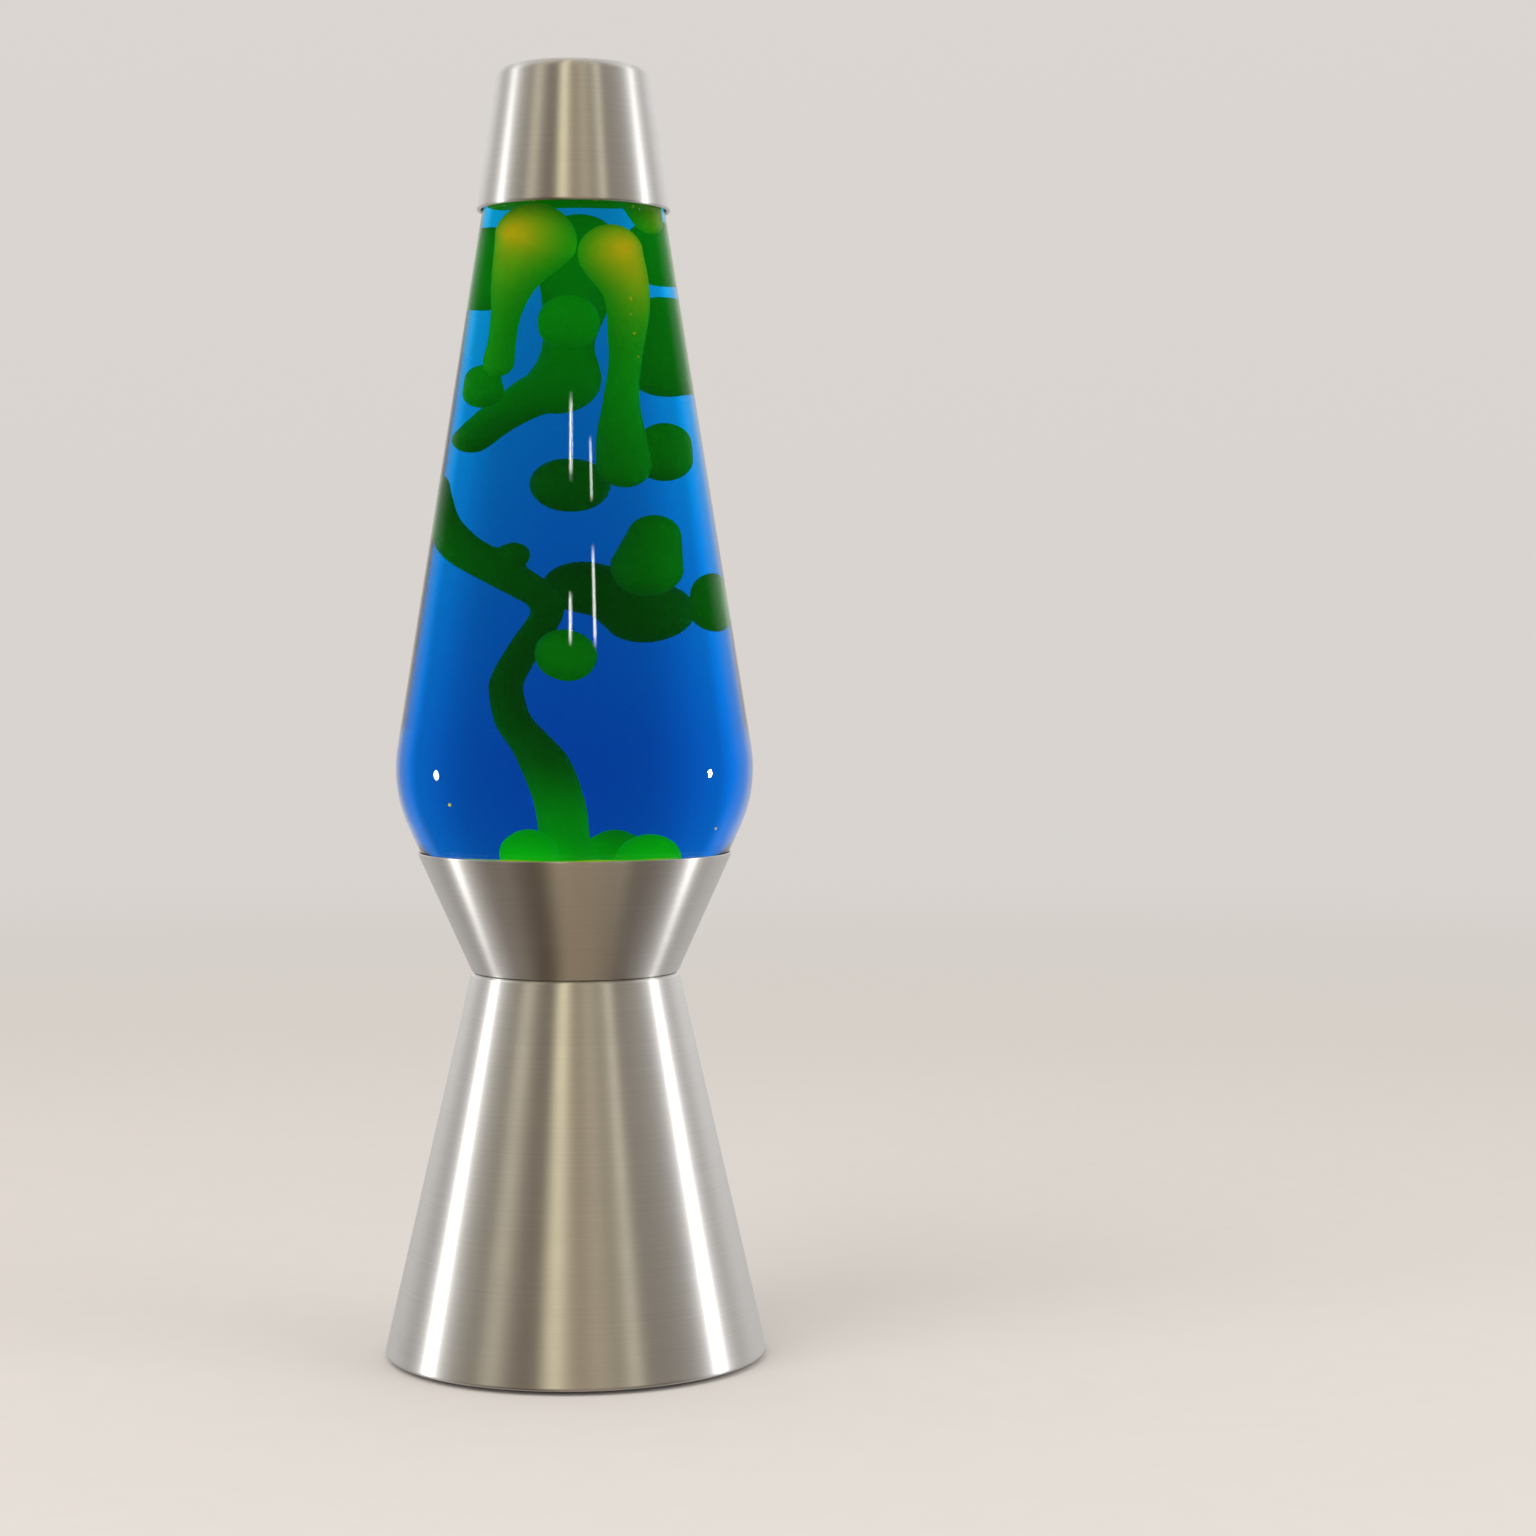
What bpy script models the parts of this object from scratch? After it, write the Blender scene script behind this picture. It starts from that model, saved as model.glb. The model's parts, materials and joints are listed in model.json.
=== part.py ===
"""Lava lamp: a spun aluminium base and cup, a glass globe of liquid and wax, a spun cap, and the bulb that heats it.

Metres, +Z up. The origin is on the lamp's axis at table level, and the front looks along -Y.
"""

import math

import bmesh
import bpy
from mathutils import Matrix, Vector

# Overall sizes
LAMP_HEIGHT = 0.6858
GAP = 0.0003  # left between pieces that touch
SHELL_SEGMENTS = 36  # round the big turned shells; a multiple of four keeps the box exact
SMALL_SEGMENTS = 10  # round screws, feet and other small turned pieces
ARC_SAG = 0.0004  # the most that a rounded corner's chord leaves its arc

# Base skirt: a spun cone with its hem and its top edge turned inwards
HEM_Z = 0.0023  # the feet hold the hem this far above the table
HEM_R = 0.1027
HEM_LIP_R = 0.0965
SKIRT_SLOPE = 0.230  # radius lost for each metre of height
WAIST_Z = 0.2061
WAIST_OPENING_R = 0.0370
SKIRT_SHEET = 0.0012

# Cup that holds the globe
CUP_Z = WAIST_Z + GAP
CUP_FOOT_R = 0.0551
CUP_RIM_Z = 0.2695
CUP_RIM_R = 0.0836
CUP_SHEET = 0.0010

# Bottom plate and feet
PLATE_Z = HEM_Z + SKIRT_SHEET + GAP
PLATE_THICKNESS = 0.0012
PLATE_R = 0.0996
FOOT_R = 0.0065
FOOT_CIRCLE_R = 0.0840
FOOT_COUNT = 4
VENT_COUNT = 6
VENT_R = 0.0060
VENT_CIRCLE_R = 0.0500

# Cord inlet at the back
INLET_Z = 0.0165
INLET_HOLE_R = 0.0050

# Globe: a cone that stands in the cup, a round belly, a long taper, a shoulder and a neck
GLASS_WALL = 0.0040
GLOBE_FLOOR_Z = 0.2220
GLOBE_FLARE = (CUP_RIM_R - CUP_FOOT_R) / (CUP_RIM_Z - CUP_Z)
GLOBE_TAPER = 0.1616
SHOULDER_Z = 0.6320
SHOULDER_R = 0.04475
BELLY_FILLET = 0.074
NECK_R = 0.0200
NECK_FOOT_Z = 0.6440
NECK_TOP_Z = 0.6631
LIQUID_TOP_Z = 0.6560

# Cap
CAP_RIM_Z = 0.6095
CAP_RIM_R = 0.0518
CAP_LIP_R = 0.0488
CAP_SLOPE = 0.1535
CAP_SHEET = 0.0010
CAP_DOME = 0.0013

# Closure on the globe's neck
CLOSURE_R = 0.0217
CLOSURE_Z = 0.6480
CLOSURE_TOP_Z = 0.6668
CLOSURE_SHEET = 0.0008
LINER_R = 0.0195

# Bulb and socket share an Edison thread
THREAD_PITCH = 0.00363
THREAD_WAVE = 0.00035
BULB_THREAD_R = 0.01265
SOCKET_THREAD_R = 0.01310
THREAD_SEGMENTS = 20
ROWS_PER_PITCH = 5
BULB_Z = 0.0995
BULB_TOP_Z = 0.1975
BULB_R = 0.03175
BULB_GLASS = 0.0008
BULB_THREAD_Z = BULB_Z + 0.0058
BULB_TURNS = 4
BULB_COLLAR_Z = 0.1265
SOCKET_Z = 0.0860
SOCKET_TOP_Z = 0.1250
SOCKET_R = 0.0195
SOCKET_FLOOR_Z = 0.0975
SOCKET_BORE_R = 0.0148
SOCKET_THREAD_Z = 0.1045
SOCKET_TURNS = 3

# Bracket that hangs the socket from the waist
BRACKET_SHEET = 0.0012
BRACKET_TOP_Z = WAIST_Z - SKIRT_SHEET - GAP
BRACKET_RING_R = 0.0500
BRACKET_LEG_X = 0.0412
BRACKET_WIDTH = 0.0180
BRACKET_Z = SOCKET_Z - GAP - BRACKET_SHEET
WAIST_SCREW_CIRCLE_R = 0.0455
WAIST_SCREW_COUNT = 3
SCREW_R = 0.0019
SCREW_HOLE_R = 0.0023
SOCKET_SCREW_X = 0.0125

# Heating coil and wax
COIL_R = 0.0520
COIL_WIRE_R = 0.0020
POOL_TOP_Z = 0.2715
POOL_FOOT_R = 0.0470
POOL_STEP = 0.0050
WAX_SEGMENTS = 8
WAX_TURN = 0.2  # radians from each ring's side to its first vertex
WAX_CLEARANCE = 0.0006
CHANNEL_R = 0.0005

# Wax, as (x, y, z, radius) along each piece's middle, in millimetres
WAX_COLUMN = [
    (0, 0, 262, 15), (-4, 0, 285, 10.5), (-6, 5, 299, 10), (-10, 9, 311, 9.4), (-17, 14, 323, 8.2),
    (-24, 17, 335, 7.3), (-26.5, 18, 347, 6.8), (-26.5, 18, 357, 6.3), (-20, 18, 374, 6.3), (-12, 17, 391, 6.2),
    (-13, 14, 401, 7), (-20, 11, 408, 7.8), (-31, 9, 417, 8.4), (-43, 11, 427, 8.4), (-50.5, 13, 440, 7.6),
    (-53, 15, 453, 6.8), (-53.5, 16, 462, 6.2),
]
WAX_MOUNDS = [(-18.5, -23, 278, 13), (14, 20, 279, 14), (32, -14, 274, 15), (-24, 8, 424, 6.6)]
WAX_PIECES = {
    "wax_crown": [
        (-28, 4, 616, 9), (-12, 9, 618, 10.5), (8, 9, 618, 10.5), (24, 3, 616, 9.5), (33, -5, 603, 8.5),
    ],
    "wax_drop_left": [
        (-17.4, -20.7, 589, 20), (-25, -18, 570, 12), (-28.5, -15, 553, 7.5), (-30, -14, 538, 6.6),
        (-32, -14, 526, 7.4),
    ],
    "wax_drop_right": [
        (19, -26, 582, 16), (26, -24, 562, 11.5), (24, -18, 535, 8), (21.5, -16, 510, 7.5),
        (21, -16, 489, 10.5), (22, -16, 472.5, 12.3),
    ],
    "wax_drop_middle": [
        (1, 18, 593, 12), (0, 17, 577, 14), (-1, 17, 557, 12), (-3, 13, 536, 9.5), (-5, 11, 515, 14),
        (-17, 13, 507, 10), (-28, 17, 497, 8), (-38, 18, 485, 7),
    ],
    "wax_drop_far_left": [(-29, 22, 588, 10.5), (-31, 22, 566, 12)],
    "wax_drop_far_right": [(27, 22, 592, 10.5), (29, 23, 578, 11)],
    "wax_drop_back": [(28, 26, 550, 12), (29, 28, 532, 13.5), (29, 30, 521, 12.5)],
    "wax_blob_high_middle": [(-2, -10, 548, 13), (-2, -10, 545, 13)],
    "wax_blob_high_right": [(34.5, 9, 483.4, 11), (34.5, 8, 475.4, 12)],
    "wax_blob_high_left": [(-36.5, 3, 517, 8), (-36.5, 2, 511, 9)],
    "wax_blob_middle": [(-3.8, 16, 461, 14), (-1.8, 16, 461, 14)],
    "wax_blob_low_back": [(0, 38, 406, 13.5), (11, 36, 402, 13.5), (23, 33, 393, 16.5)],
    "wax_blob_low_right": [(34, -9, 434, 12), (31, -9, 419, 16)],
    "wax_blob_low_front": [(-2.5, -42, 374, 13), (-0.5, -42, 373, 13)],
    "wax_blob_side": [(57, 8, 404.5, 11), (57, 8, 396.5, 12.3)],
}


# ---- scene and materials ----


def clear_scene():
    for obj in list(bpy.data.objects):
        bpy.data.objects.remove(obj)


def make_material(name, color, roughness, metallic=0.0, transmission=0.0):
    material = bpy.data.materials.new(name)
    material.use_nodes = True
    shader = material.node_tree.nodes["Principled BSDF"]
    shader.inputs["Base Color"].default_value = (*color, 1)
    shader.inputs["Roughness"].default_value = roughness
    shader.inputs["Metallic"].default_value = metallic
    shader.inputs["Transmission Weight"].default_value = transmission
    material.diffuse_color = (*color, 1)
    return material


def make_materials():
    return {
        "aluminium": make_material("spun_aluminium", (0.55, 0.53, 0.50), 0.30, metallic=1.0),
        "steel": make_material("zinc_steel", (0.60, 0.61, 0.62), 0.35, metallic=1.0),
        "brass": make_material("socket_brass", (0.72, 0.55, 0.25), 0.30, metallic=1.0),
        "porcelain": make_material("socket_porcelain", (0.85, 0.83, 0.78), 0.25),
        "rubber": make_material("black_rubber", (0.02, 0.02, 0.02), 0.70),
        "plate": make_material("black_plate", (0.03, 0.03, 0.03), 0.55, metallic=1.0),
        "glass": make_material("clear_glass", (0.95, 0.98, 1.0), 0.0, transmission=1.0),
        "liquid": make_material("blue_liquid", (0.0, 0.10, 0.45), 0.0, transmission=1.0),
        "wax": make_material("yellow_wax", (0.75, 0.72, 0.03), 0.45),
        "closure": make_material("closure_tinplate", (0.75, 0.75, 0.76), 0.30, metallic=1.0),
        "liner": make_material("closure_liner", (0.80, 0.80, 0.78), 0.60),
        "insulator": make_material("bulb_insulator", (0.03, 0.03, 0.04), 0.20),
        "filament": make_material("tungsten", (0.30, 0.29, 0.28), 0.40, metallic=1.0),
    }


# ---- outlines ----


def turned_corner(before, corner, after, fillet):
    """The points of a rounded corner: an arc of the fillet's radius, tangent to both of its straight runs."""
    inward, outward = (before - corner).normalized(), (after - corner).normalized()
    turn = math.pi - inward.angle(outward)
    if fillet <= 0 or turn < math.radians(1):
        return [corner]
    reach = fillet * math.tan(turn / 2)
    middle = corner + (inward + outward).normalized() * (fillet / math.cos(turn / 2))
    start, end = corner + inward * reach - middle, corner + outward * reach - middle
    steps = math.ceil(turn / (2 * math.acos(max(1 - ARC_SAG / fillet, -1))))
    sign = math.copysign(1, start.x * end.y - start.y * end.x)
    return [middle + Matrix.Rotation(sign * turn * i / steps, 2) @ start for i in range(steps + 1)]


def rounded(corners):
    """An open outline of (r, z, fillet) corners, as plain (r, z) points with each fillet drawn as an arc."""
    points = [Vector(corner[:2]) for corner in corners]
    outline = [points[0]]
    for i in range(1, len(points) - 1):
        outline += turned_corner(points[i - 1], points[i], points[i + 1], corners[i][2])
    outline.append(points[-1])
    return [(max(point.x, 0.0), point.y) for point in outline]


def offset(corners, distance):
    """The same outline moved to its left by a distance, with its fillets still concentric."""
    points = [Vector(corner[:2]) for corner in corners]
    runs = [(after - before).normalized() for before, after in zip(points, points[1:])]
    lefts = [Vector((-run.y, run.x)) for run in runs]
    moved = [(*(points[0] + lefts[0] * distance), 0)]
    for i in range(1, len(points) - 1):
        bisector = (lefts[i - 1] + lefts[i]).normalized()
        place = points[i] + bisector * (distance / bisector.dot(lefts[i]))
        left_turn = runs[i - 1].x * runs[i].y - runs[i - 1].y * runs[i].x > 0
        fillet = corners[i][2]
        if fillet > 0:
            fillet = max(fillet - distance if left_turn else fillet + distance, 0)
        moved.append((*place, fillet))
    moved.append((*(points[-1] + lefts[-1] * distance), 0))
    return moved


def sheet_loop(corners, thickness):
    """The closed loop of a sheet whose outer face follows the corners."""
    return rounded(corners) + rounded(offset(corners, thickness))[::-1]


# ---- meshes ----


def add_object(name, bm, material):
    if bm.calc_volume(signed=True) < 0:
        bmesh.ops.reverse_faces(bm, faces=bm.faces)
    mesh = bpy.data.meshes.new(name)
    bm.to_mesh(mesh)
    bm.free()
    mesh.shade_smooth()
    mesh.set_sharp_from_angle(angle=math.radians(32))
    if material:
        mesh.materials.append(material)
    obj = bpy.data.objects.new(name, mesh)
    bpy.context.scene.collection.objects.link(obj)
    return obj


def bridge(bm, lower, upper):
    """Faces between two rings; a ring of one vertex is a point on the axis."""
    count = max(len(lower), len(upper))
    if count == 1:
        return
    for k in range(count):
        corners = [lower[k % len(lower)], lower[(k + 1) % len(lower)]]
        corners += [upper[(k + 1) % len(upper)], upper[k % len(upper)]]
        bm.faces.new(dict.fromkeys(corners))


def thread_wave(theta, z):
    """A right-hand thread's height at an angle and a level."""
    return THREAD_WAVE * math.cos(math.tau * z / THREAD_PITCH - theta)


def turned_ring(bm, point, segments):
    r, z, *threaded = point
    if r < 1e-6:
        return [bm.verts.new((0, 0, z))]
    ring = []
    for k in range(segments):
        theta = math.tau * k / segments
        radius = r + thread_wave(theta, z) if threaded else r
        ring.append(bm.verts.new((radius * math.cos(theta), radius * math.sin(theta), z)))
    return ring


def turned_mesh(loop, segments):
    bm = bmesh.new()
    rings = [turned_ring(bm, point, segments) for point in loop]
    for lower, upper in zip(rings, rings[1:] + rings[:1]):
        bridge(bm, lower, upper)
    return bm


def turn(name, loop, material, segments=SHELL_SEGMENTS):
    """A solid turned about Z from a closed loop of (r, z) points."""
    return add_object(name, turned_mesh(loop, segments), material)


def rod_mesh(radius, start, end, segments=SMALL_SEGMENTS):
    start, end = Vector(start), Vector(end)
    bm = bmesh.new()
    length = (end - start).length
    bmesh.ops.create_cone(bm, cap_ends=True, segments=segments, radius1=radius, radius2=radius, depth=length)
    turned = (end - start).to_track_quat("Z", "Y").to_matrix().to_4x4()
    bm.transform(Matrix.Translation((start + end) / 2) @ turned)
    return bm


def circle_points(count, radius, z=0.0, first=0.0):
    """Evenly spaced points on a circle about the axis."""
    angles = [first + math.tau * i / count for i in range(count)]
    return [Vector((radius * math.cos(angle), radius * math.sin(angle), z)) for angle in angles]


def combine(target, operation, meshes):
    """Cut the meshes from the target, or join them to it. They stay in the file as wire guides."""
    guides = bpy.data.collections.new(f"{target.name}_{operation.lower()}")
    bpy.context.scene.collection.children.link(guides)
    for i, bm in enumerate(meshes):
        guide = add_object(f"{guides.name}_{i}", bm, None)
        bpy.context.scene.collection.objects.unlink(guide)
        guides.objects.link(guide)
        guide.hide_render = True
        guide.display_type = "WIRE"
    modifier = target.modifiers.new(operation.title(), "BOOLEAN")
    modifier.operation = operation
    modifier.operand_type = "COLLECTION"
    modifier.collection = guides
    modifier.solver = "EXACT"
    modifier.use_self = True
    return target


def drill(target, radius, points, depth, upwards=False):
    """Holes along Z through or into a target, from each point."""
    way = Vector((0, 0, depth if upwards else -depth))
    return combine(target, "DIFFERENCE", [rod_mesh(radius, point, point + way) for point in points])


# ---- base ----


def waist_screw_points(z):
    return circle_points(WAIST_SCREW_COUNT, WAIST_SCREW_CIRCLE_R, z, first=math.pi / 2)


def skirt_radius(z):
    return HEM_R - SKIRT_SLOPE * (z - HEM_Z)


def inlet_frame():
    """The cord inlet's frame: on the skirt's outer face at the back, with its Z axis square to the sheet."""
    outward = Vector((0, 1, SKIRT_SLOPE)).normalized()
    turned = Vector((0, 0, 1)).rotation_difference(outward).to_matrix().to_4x4()
    return Matrix.Translation((0, skirt_radius(INLET_Z), INLET_Z)) @ turned


def build_skirt(material):
    corners = [
        (HEM_LIP_R, HEM_Z, 0),
        (HEM_R, HEM_Z, 0.0016),
        (skirt_radius(WAIST_Z), WAIST_Z, 0.0024),
        (WAIST_OPENING_R, WAIST_Z, 0),
    ]
    skirt = turn("base_skirt", sheet_loop(corners, SKIRT_SHEET), material)
    cuts = [rod_mesh(SCREW_HOLE_R, p, p - Vector((0, 0, 0.004))) for p in waist_screw_points(WAIST_Z + 0.001)]
    inlet = rod_mesh(INLET_HOLE_R, (0, 0, -0.004), (0, 0, 0.004), segments=16)
    inlet.transform(inlet_frame())
    return combine(skirt, "DIFFERENCE", [*cuts, inlet])


def build_cup(material):
    corners = [(WAIST_OPENING_R, CUP_Z, 0), (CUP_FOOT_R, CUP_Z, 0.0016), (CUP_RIM_R, CUP_RIM_Z, 0)]
    cup = turn("globe_cup", sheet_loop(corners, CUP_SHEET), material)
    return drill(cup, SCREW_HOLE_R, waist_screw_points(CUP_Z + 0.002), 0.004)


def build_bottom_plate(material):
    top = PLATE_Z + PLATE_THICKNESS
    plate = turn("bottom_plate", [(0, PLATE_Z), (PLATE_R, PLATE_Z), (PLATE_R, top), (0, top)], material)
    places = [(p, 0.0028) for p in foot_points()]
    places += [(p, VENT_R) for p in circle_points(VENT_COUNT, VENT_CIRCLE_R)]
    reach = Vector((0, 0, 0.010))
    return combine(plate, "DIFFERENCE", [rod_mesh(radius, p, p + reach, 8) for p, radius in places])


def foot_points():
    return circle_points(FOOT_COUNT, FOOT_CIRCLE_R, first=math.pi / FOOT_COUNT)


def build_feet(material):
    """Rubber feet: a pad under the plate, a neck through its hole and a barb above it."""
    barb_z = PLATE_Z + PLATE_THICKNESS + GAP
    loop = [
        (0, 0),
        (FOOT_R, 0),
        (FOOT_R - 0.0006, PLATE_Z - GAP),
        (0.0024, PLATE_Z - GAP),
        (0.0024, barb_z),
        (0.0033, barb_z + 0.0003),
        (0.0018, barb_z + 0.0028),
        (0, barb_z + 0.0028),
    ]
    for i, point in enumerate(foot_points(), start=1):
        turn(f"foot_{i}", loop, material, SMALL_SEGMENTS).location = point


def build_grommet(material):
    """A rubber bush in the skirt's hole, with a flange on each side of the sheet."""
    clear = 0.0006
    loop = [
        (0.0028, clear + 0.0014),
        (0.0062, clear + 0.0010),
        (0.0062, clear),
        (0.0045, clear),
        (0.0045, -SKIRT_SHEET - clear),
        (0.0062, -SKIRT_SHEET - clear),
        (0.0062, -SKIRT_SHEET - clear - 0.0010),
        (0.0028, -SKIRT_SHEET - clear - 0.0014),
    ]
    turn("cord_grommet", loop, material, 16).matrix_world = inlet_frame()


def screw_loop(shank_r, shank_length, head_r, head_height):
    """A pan-head screw whose head starts at z = 0 and whose shank hangs below."""
    return [
        (0, -shank_length),
        (shank_r, -shank_length),
        (shank_r, 0),
        (head_r, 0),
        (head_r, head_height * 0.5),
        (head_r * 0.7, head_height),
        (0, head_height),
    ]


def build_waist_fasteners(material):
    """The screws and nuts that clamp the cup, the skirt and the bracket at the waist."""
    loop = screw_loop(SCREW_R, 0.0095, 0.0034, 0.0020)
    for i, point in enumerate(waist_screw_points(CUP_Z + CUP_SHEET + GAP), start=1):
        turn(f"waist_screw_{i}", loop, material, SMALL_SEGMENTS).location = point
    nut_top = BRACKET_TOP_Z - BRACKET_SHEET - GAP
    for i, point in enumerate(waist_screw_points(nut_top - 0.0030), start=1):
        nut = add_object(f"waist_nut_{i}", rod_mesh(0.0036, (0, 0, 0), (0, 0, 0.0030), segments=6), material)
        nut.location = point
        bore = rod_mesh(SCREW_R + GAP, point - Vector((0, 0, 0.001)), point + Vector((0, 0, 0.004)))
        combine(nut, "DIFFERENCE", [bore])


# ---- socket ----


def strap_mesh():
    """The bracket's U-shaped strap: two legs and a cross piece, bent from one strip."""
    inner_x, inner_z = BRACKET_LEG_X - BRACKET_SHEET, BRACKET_Z + BRACKET_SHEET
    top = BRACKET_TOP_Z - BRACKET_SHEET / 2
    half = [(BRACKET_LEG_X, top), (BRACKET_LEG_X, BRACKET_Z)]
    inner = [(inner_x, inner_z), (inner_x, top)]
    outline = [(-x, z) for x, z in half] + half[::-1] + inner[::-1] + [(-x, z) for x, z in inner]
    bm = bmesh.new()
    front, back = ([bm.verts.new((x, y, z)) for x, z in outline] for y in (-BRACKET_WIDTH / 2, BRACKET_WIDTH / 2))
    bridge(bm, front, back)
    bm.faces.new(front[::-1])
    bm.faces.new(back)
    return bm


def build_bracket(material):
    """A ring under the waist, with the strap that carries the socket."""
    bottom = BRACKET_TOP_Z - BRACKET_SHEET
    ring = [
        (WAIST_OPENING_R, bottom),
        (BRACKET_RING_R, bottom),
        (BRACKET_RING_R, BRACKET_TOP_Z),
        (WAIST_OPENING_R, BRACKET_TOP_Z),
    ]
    bracket = combine(turn("socket_bracket", ring, material, 24), "UNION", [strap_mesh()])
    depth = Vector((0, 0, 0.004))
    cuts = [rod_mesh(SCREW_HOLE_R, p, p - depth) for p in waist_screw_points(BRACKET_TOP_Z + 0.001)]
    under = BRACKET_Z - 0.001
    cuts += [rod_mesh(0.0019, (x, 0, under), Vector((x, 0, under)) + depth) for x in socket_screw_places()]
    return combine(bracket, "DIFFERENCE", cuts)


def socket_screw_places():
    return (-SOCKET_SCREW_X, SOCKET_SCREW_X)


def terminal_z():
    return (SOCKET_Z + SOCKET_FLOOR_Z) / 2


def build_socket_body(material):
    loop = rounded(
        [
            (0, SOCKET_Z, 0),
            (SOCKET_R, SOCKET_Z, 0.0015),
            (SOCKET_R, SOCKET_Z + 0.022, 0),
            (SOCKET_R - 0.0015, SOCKET_TOP_Z, 0.0010),
            (SOCKET_BORE_R, SOCKET_TOP_Z, 0),
            (SOCKET_BORE_R, SOCKET_FLOOR_Z, 0),
            (0.0060, SOCKET_FLOOR_Z, 0),
            (0.0060, SOCKET_FLOOR_Z - 0.0018, 0),
            (0, SOCKET_FLOOR_Z - 0.0018, 0),
        ]
    )
    body = turn("socket_body", loop, material, 24)
    cuts = [rod_mesh(0.0018, (x, 0, SOCKET_Z - 0.001), (x, 0, SOCKET_Z + 0.0065)) for x in socket_screw_places()]
    for side in (-1, 1):
        cuts.append(rod_mesh(0.0017, (0, side * 0.0125, terminal_z()), (0, side * 0.0210, terminal_z())))
    return combine(body, "DIFFERENCE", cuts)


def build_socket_screws(material):
    """The two screws that hold the socket to the bracket, heads down."""
    loop = screw_loop(0.0015, 0.0075, 0.0032, 0.0020)
    for i, x in enumerate(socket_screw_places(), start=1):
        screw = turn(f"socket_screw_{i}", loop, material, SMALL_SEGMENTS)
        screw.matrix_world = Matrix.Translation((x, 0, BRACKET_Z - GAP)) @ Matrix.Rotation(math.pi, 4, "X")


def build_terminals(material):
    """The two terminal screws, in the front and the back of the socket."""
    loop = screw_loop(0.0014, 0.0062, 0.0027, 0.0016)
    for i, side in enumerate((-1, 1), start=1):
        screw = turn(f"terminal_screw_{i}", loop, material, SMALL_SEGMENTS)
        place = Matrix.Translation((0, side * (SOCKET_R + GAP), terminal_z()))
        screw.matrix_world = place @ Matrix.Rotation(-side * math.pi / 2, 4, "X")


def build_socket_contact(material):
    floor = SOCKET_FLOOR_Z - 0.0018 + GAP
    loop = [(0, floor), (0.0052, floor), (0.0052, floor + 0.0010), (0.0030, BULB_Z - GAP), (0, BULB_Z - GAP)]
    turn("socket_centre_contact", loop, material, SMALL_SEGMENTS)


def thread_rows(radius, start, turns):
    rows = turns * ROWS_PER_PITCH
    return [(radius, start + THREAD_PITCH * i / ROWS_PER_PITCH, True) for i in range(rows + 1)]


def build_socket_shell(material):
    """The brass screw shell that the bulb turns in: plain outside, threaded inside."""
    outer, relief = SOCKET_BORE_R - GAP, SOCKET_THREAD_R + 0.0005
    thread = thread_rows(SOCKET_THREAD_R, SOCKET_THREAD_Z, SOCKET_TURNS)
    top = thread[-1][1] + 0.0010
    loop = [(outer, SOCKET_FLOOR_Z + GAP), (outer, top), (relief, top), *thread[::-1]]
    loop += [(relief, SOCKET_THREAD_Z - 0.0005), (relief, SOCKET_FLOOR_Z + GAP)]
    turn("socket_screw_shell", loop, material, THREAD_SEGMENTS)


# ---- bulb ----


def bulb_corners():
    """The reflector bulb's outer outline, from the open neck in its base to the middle of its face."""
    return [
        (0.0112, 0.1180, 0),
        (0.0112, BULB_COLLAR_Z + 0.0010, 0.0020),
        (BULB_R, 0.1660, 0.0180),
        (BULB_R, 0.1910, 0.0080),
        (0, BULB_TOP_Z, 0),
    ]


def build_bulb_shell(material):
    """The bulb's brass base: threaded outside, plain inside, with a plain collar on top."""
    bore = 0.0116
    thread = thread_rows(BULB_THREAD_R, BULB_THREAD_Z, BULB_TURNS)
    collar = [(0.0129, thread[-1][1] + 0.0005), (0.0129, BULB_COLLAR_Z), (bore, BULB_COLLAR_Z)]
    turn("bulb_screw_shell", [(bore, BULB_THREAD_Z), *thread, *collar], material, THREAD_SEGMENTS)


def build_bulb(materials):
    turn("bulb_glass", sheet_loop(bulb_corners(), BULB_GLASS), materials["glass"], 24)
    build_bulb_shell(materials["brass"])
    cone = [(0, BULB_Z + 0.0018), (0.0060, BULB_Z + 0.0018), (0.0105, BULB_Z + 0.0055), (0, BULB_Z + 0.0055)]
    turn("bulb_insulator", cone, materials["insulator"], SMALL_SEGMENTS)
    tip = [(0, BULB_Z), (0.0030, BULB_Z), (0.0048, BULB_Z + 0.0008), (0.0048, BULB_Z + 0.0015), (0, BULB_Z + 0.0015)]
    turn("bulb_contact", tip, materials["brass"], SMALL_SEGMENTS)
    build_stem(materials["glass"])
    build_filament(materials["filament"])


def build_stem(material):
    loop = [(0, 0.1120), (0.0065, 0.1120), (0.0038, 0.1180), (0.0038, 0.1440), (0.0028, 0.1460), (0, 0.1460)]
    turn("bulb_stem", loop, material, SMALL_SEGMENTS)


def build_filament(material):
    """The support wires and the filament as one bent wire above the stem."""
    curve = bpy.data.curves.new("filament", "CURVE")
    curve.dimensions = "3D"
    curve.bevel_depth = 0.0005
    curve.bevel_resolution = 1
    curve.use_fill_caps = True
    half = [(0.0022, 0.1466), (0.0090, 0.1600), (0.0100, 0.1630), (0.0050, 0.1655)]
    points = [(-x, 0, z) for x, z in half] + [(x, 0, z) for x, z in half[::-1]]
    spline = curve.splines.new("POLY")
    spline.points.add(len(points) - 1)
    for point, place in zip(spline.points, points):
        point.co = (*place, 1)
    curve.materials.append(material)
    bpy.context.scene.collection.objects.link(bpy.data.objects.new("filament", curve))


# ---- globe ----


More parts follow.
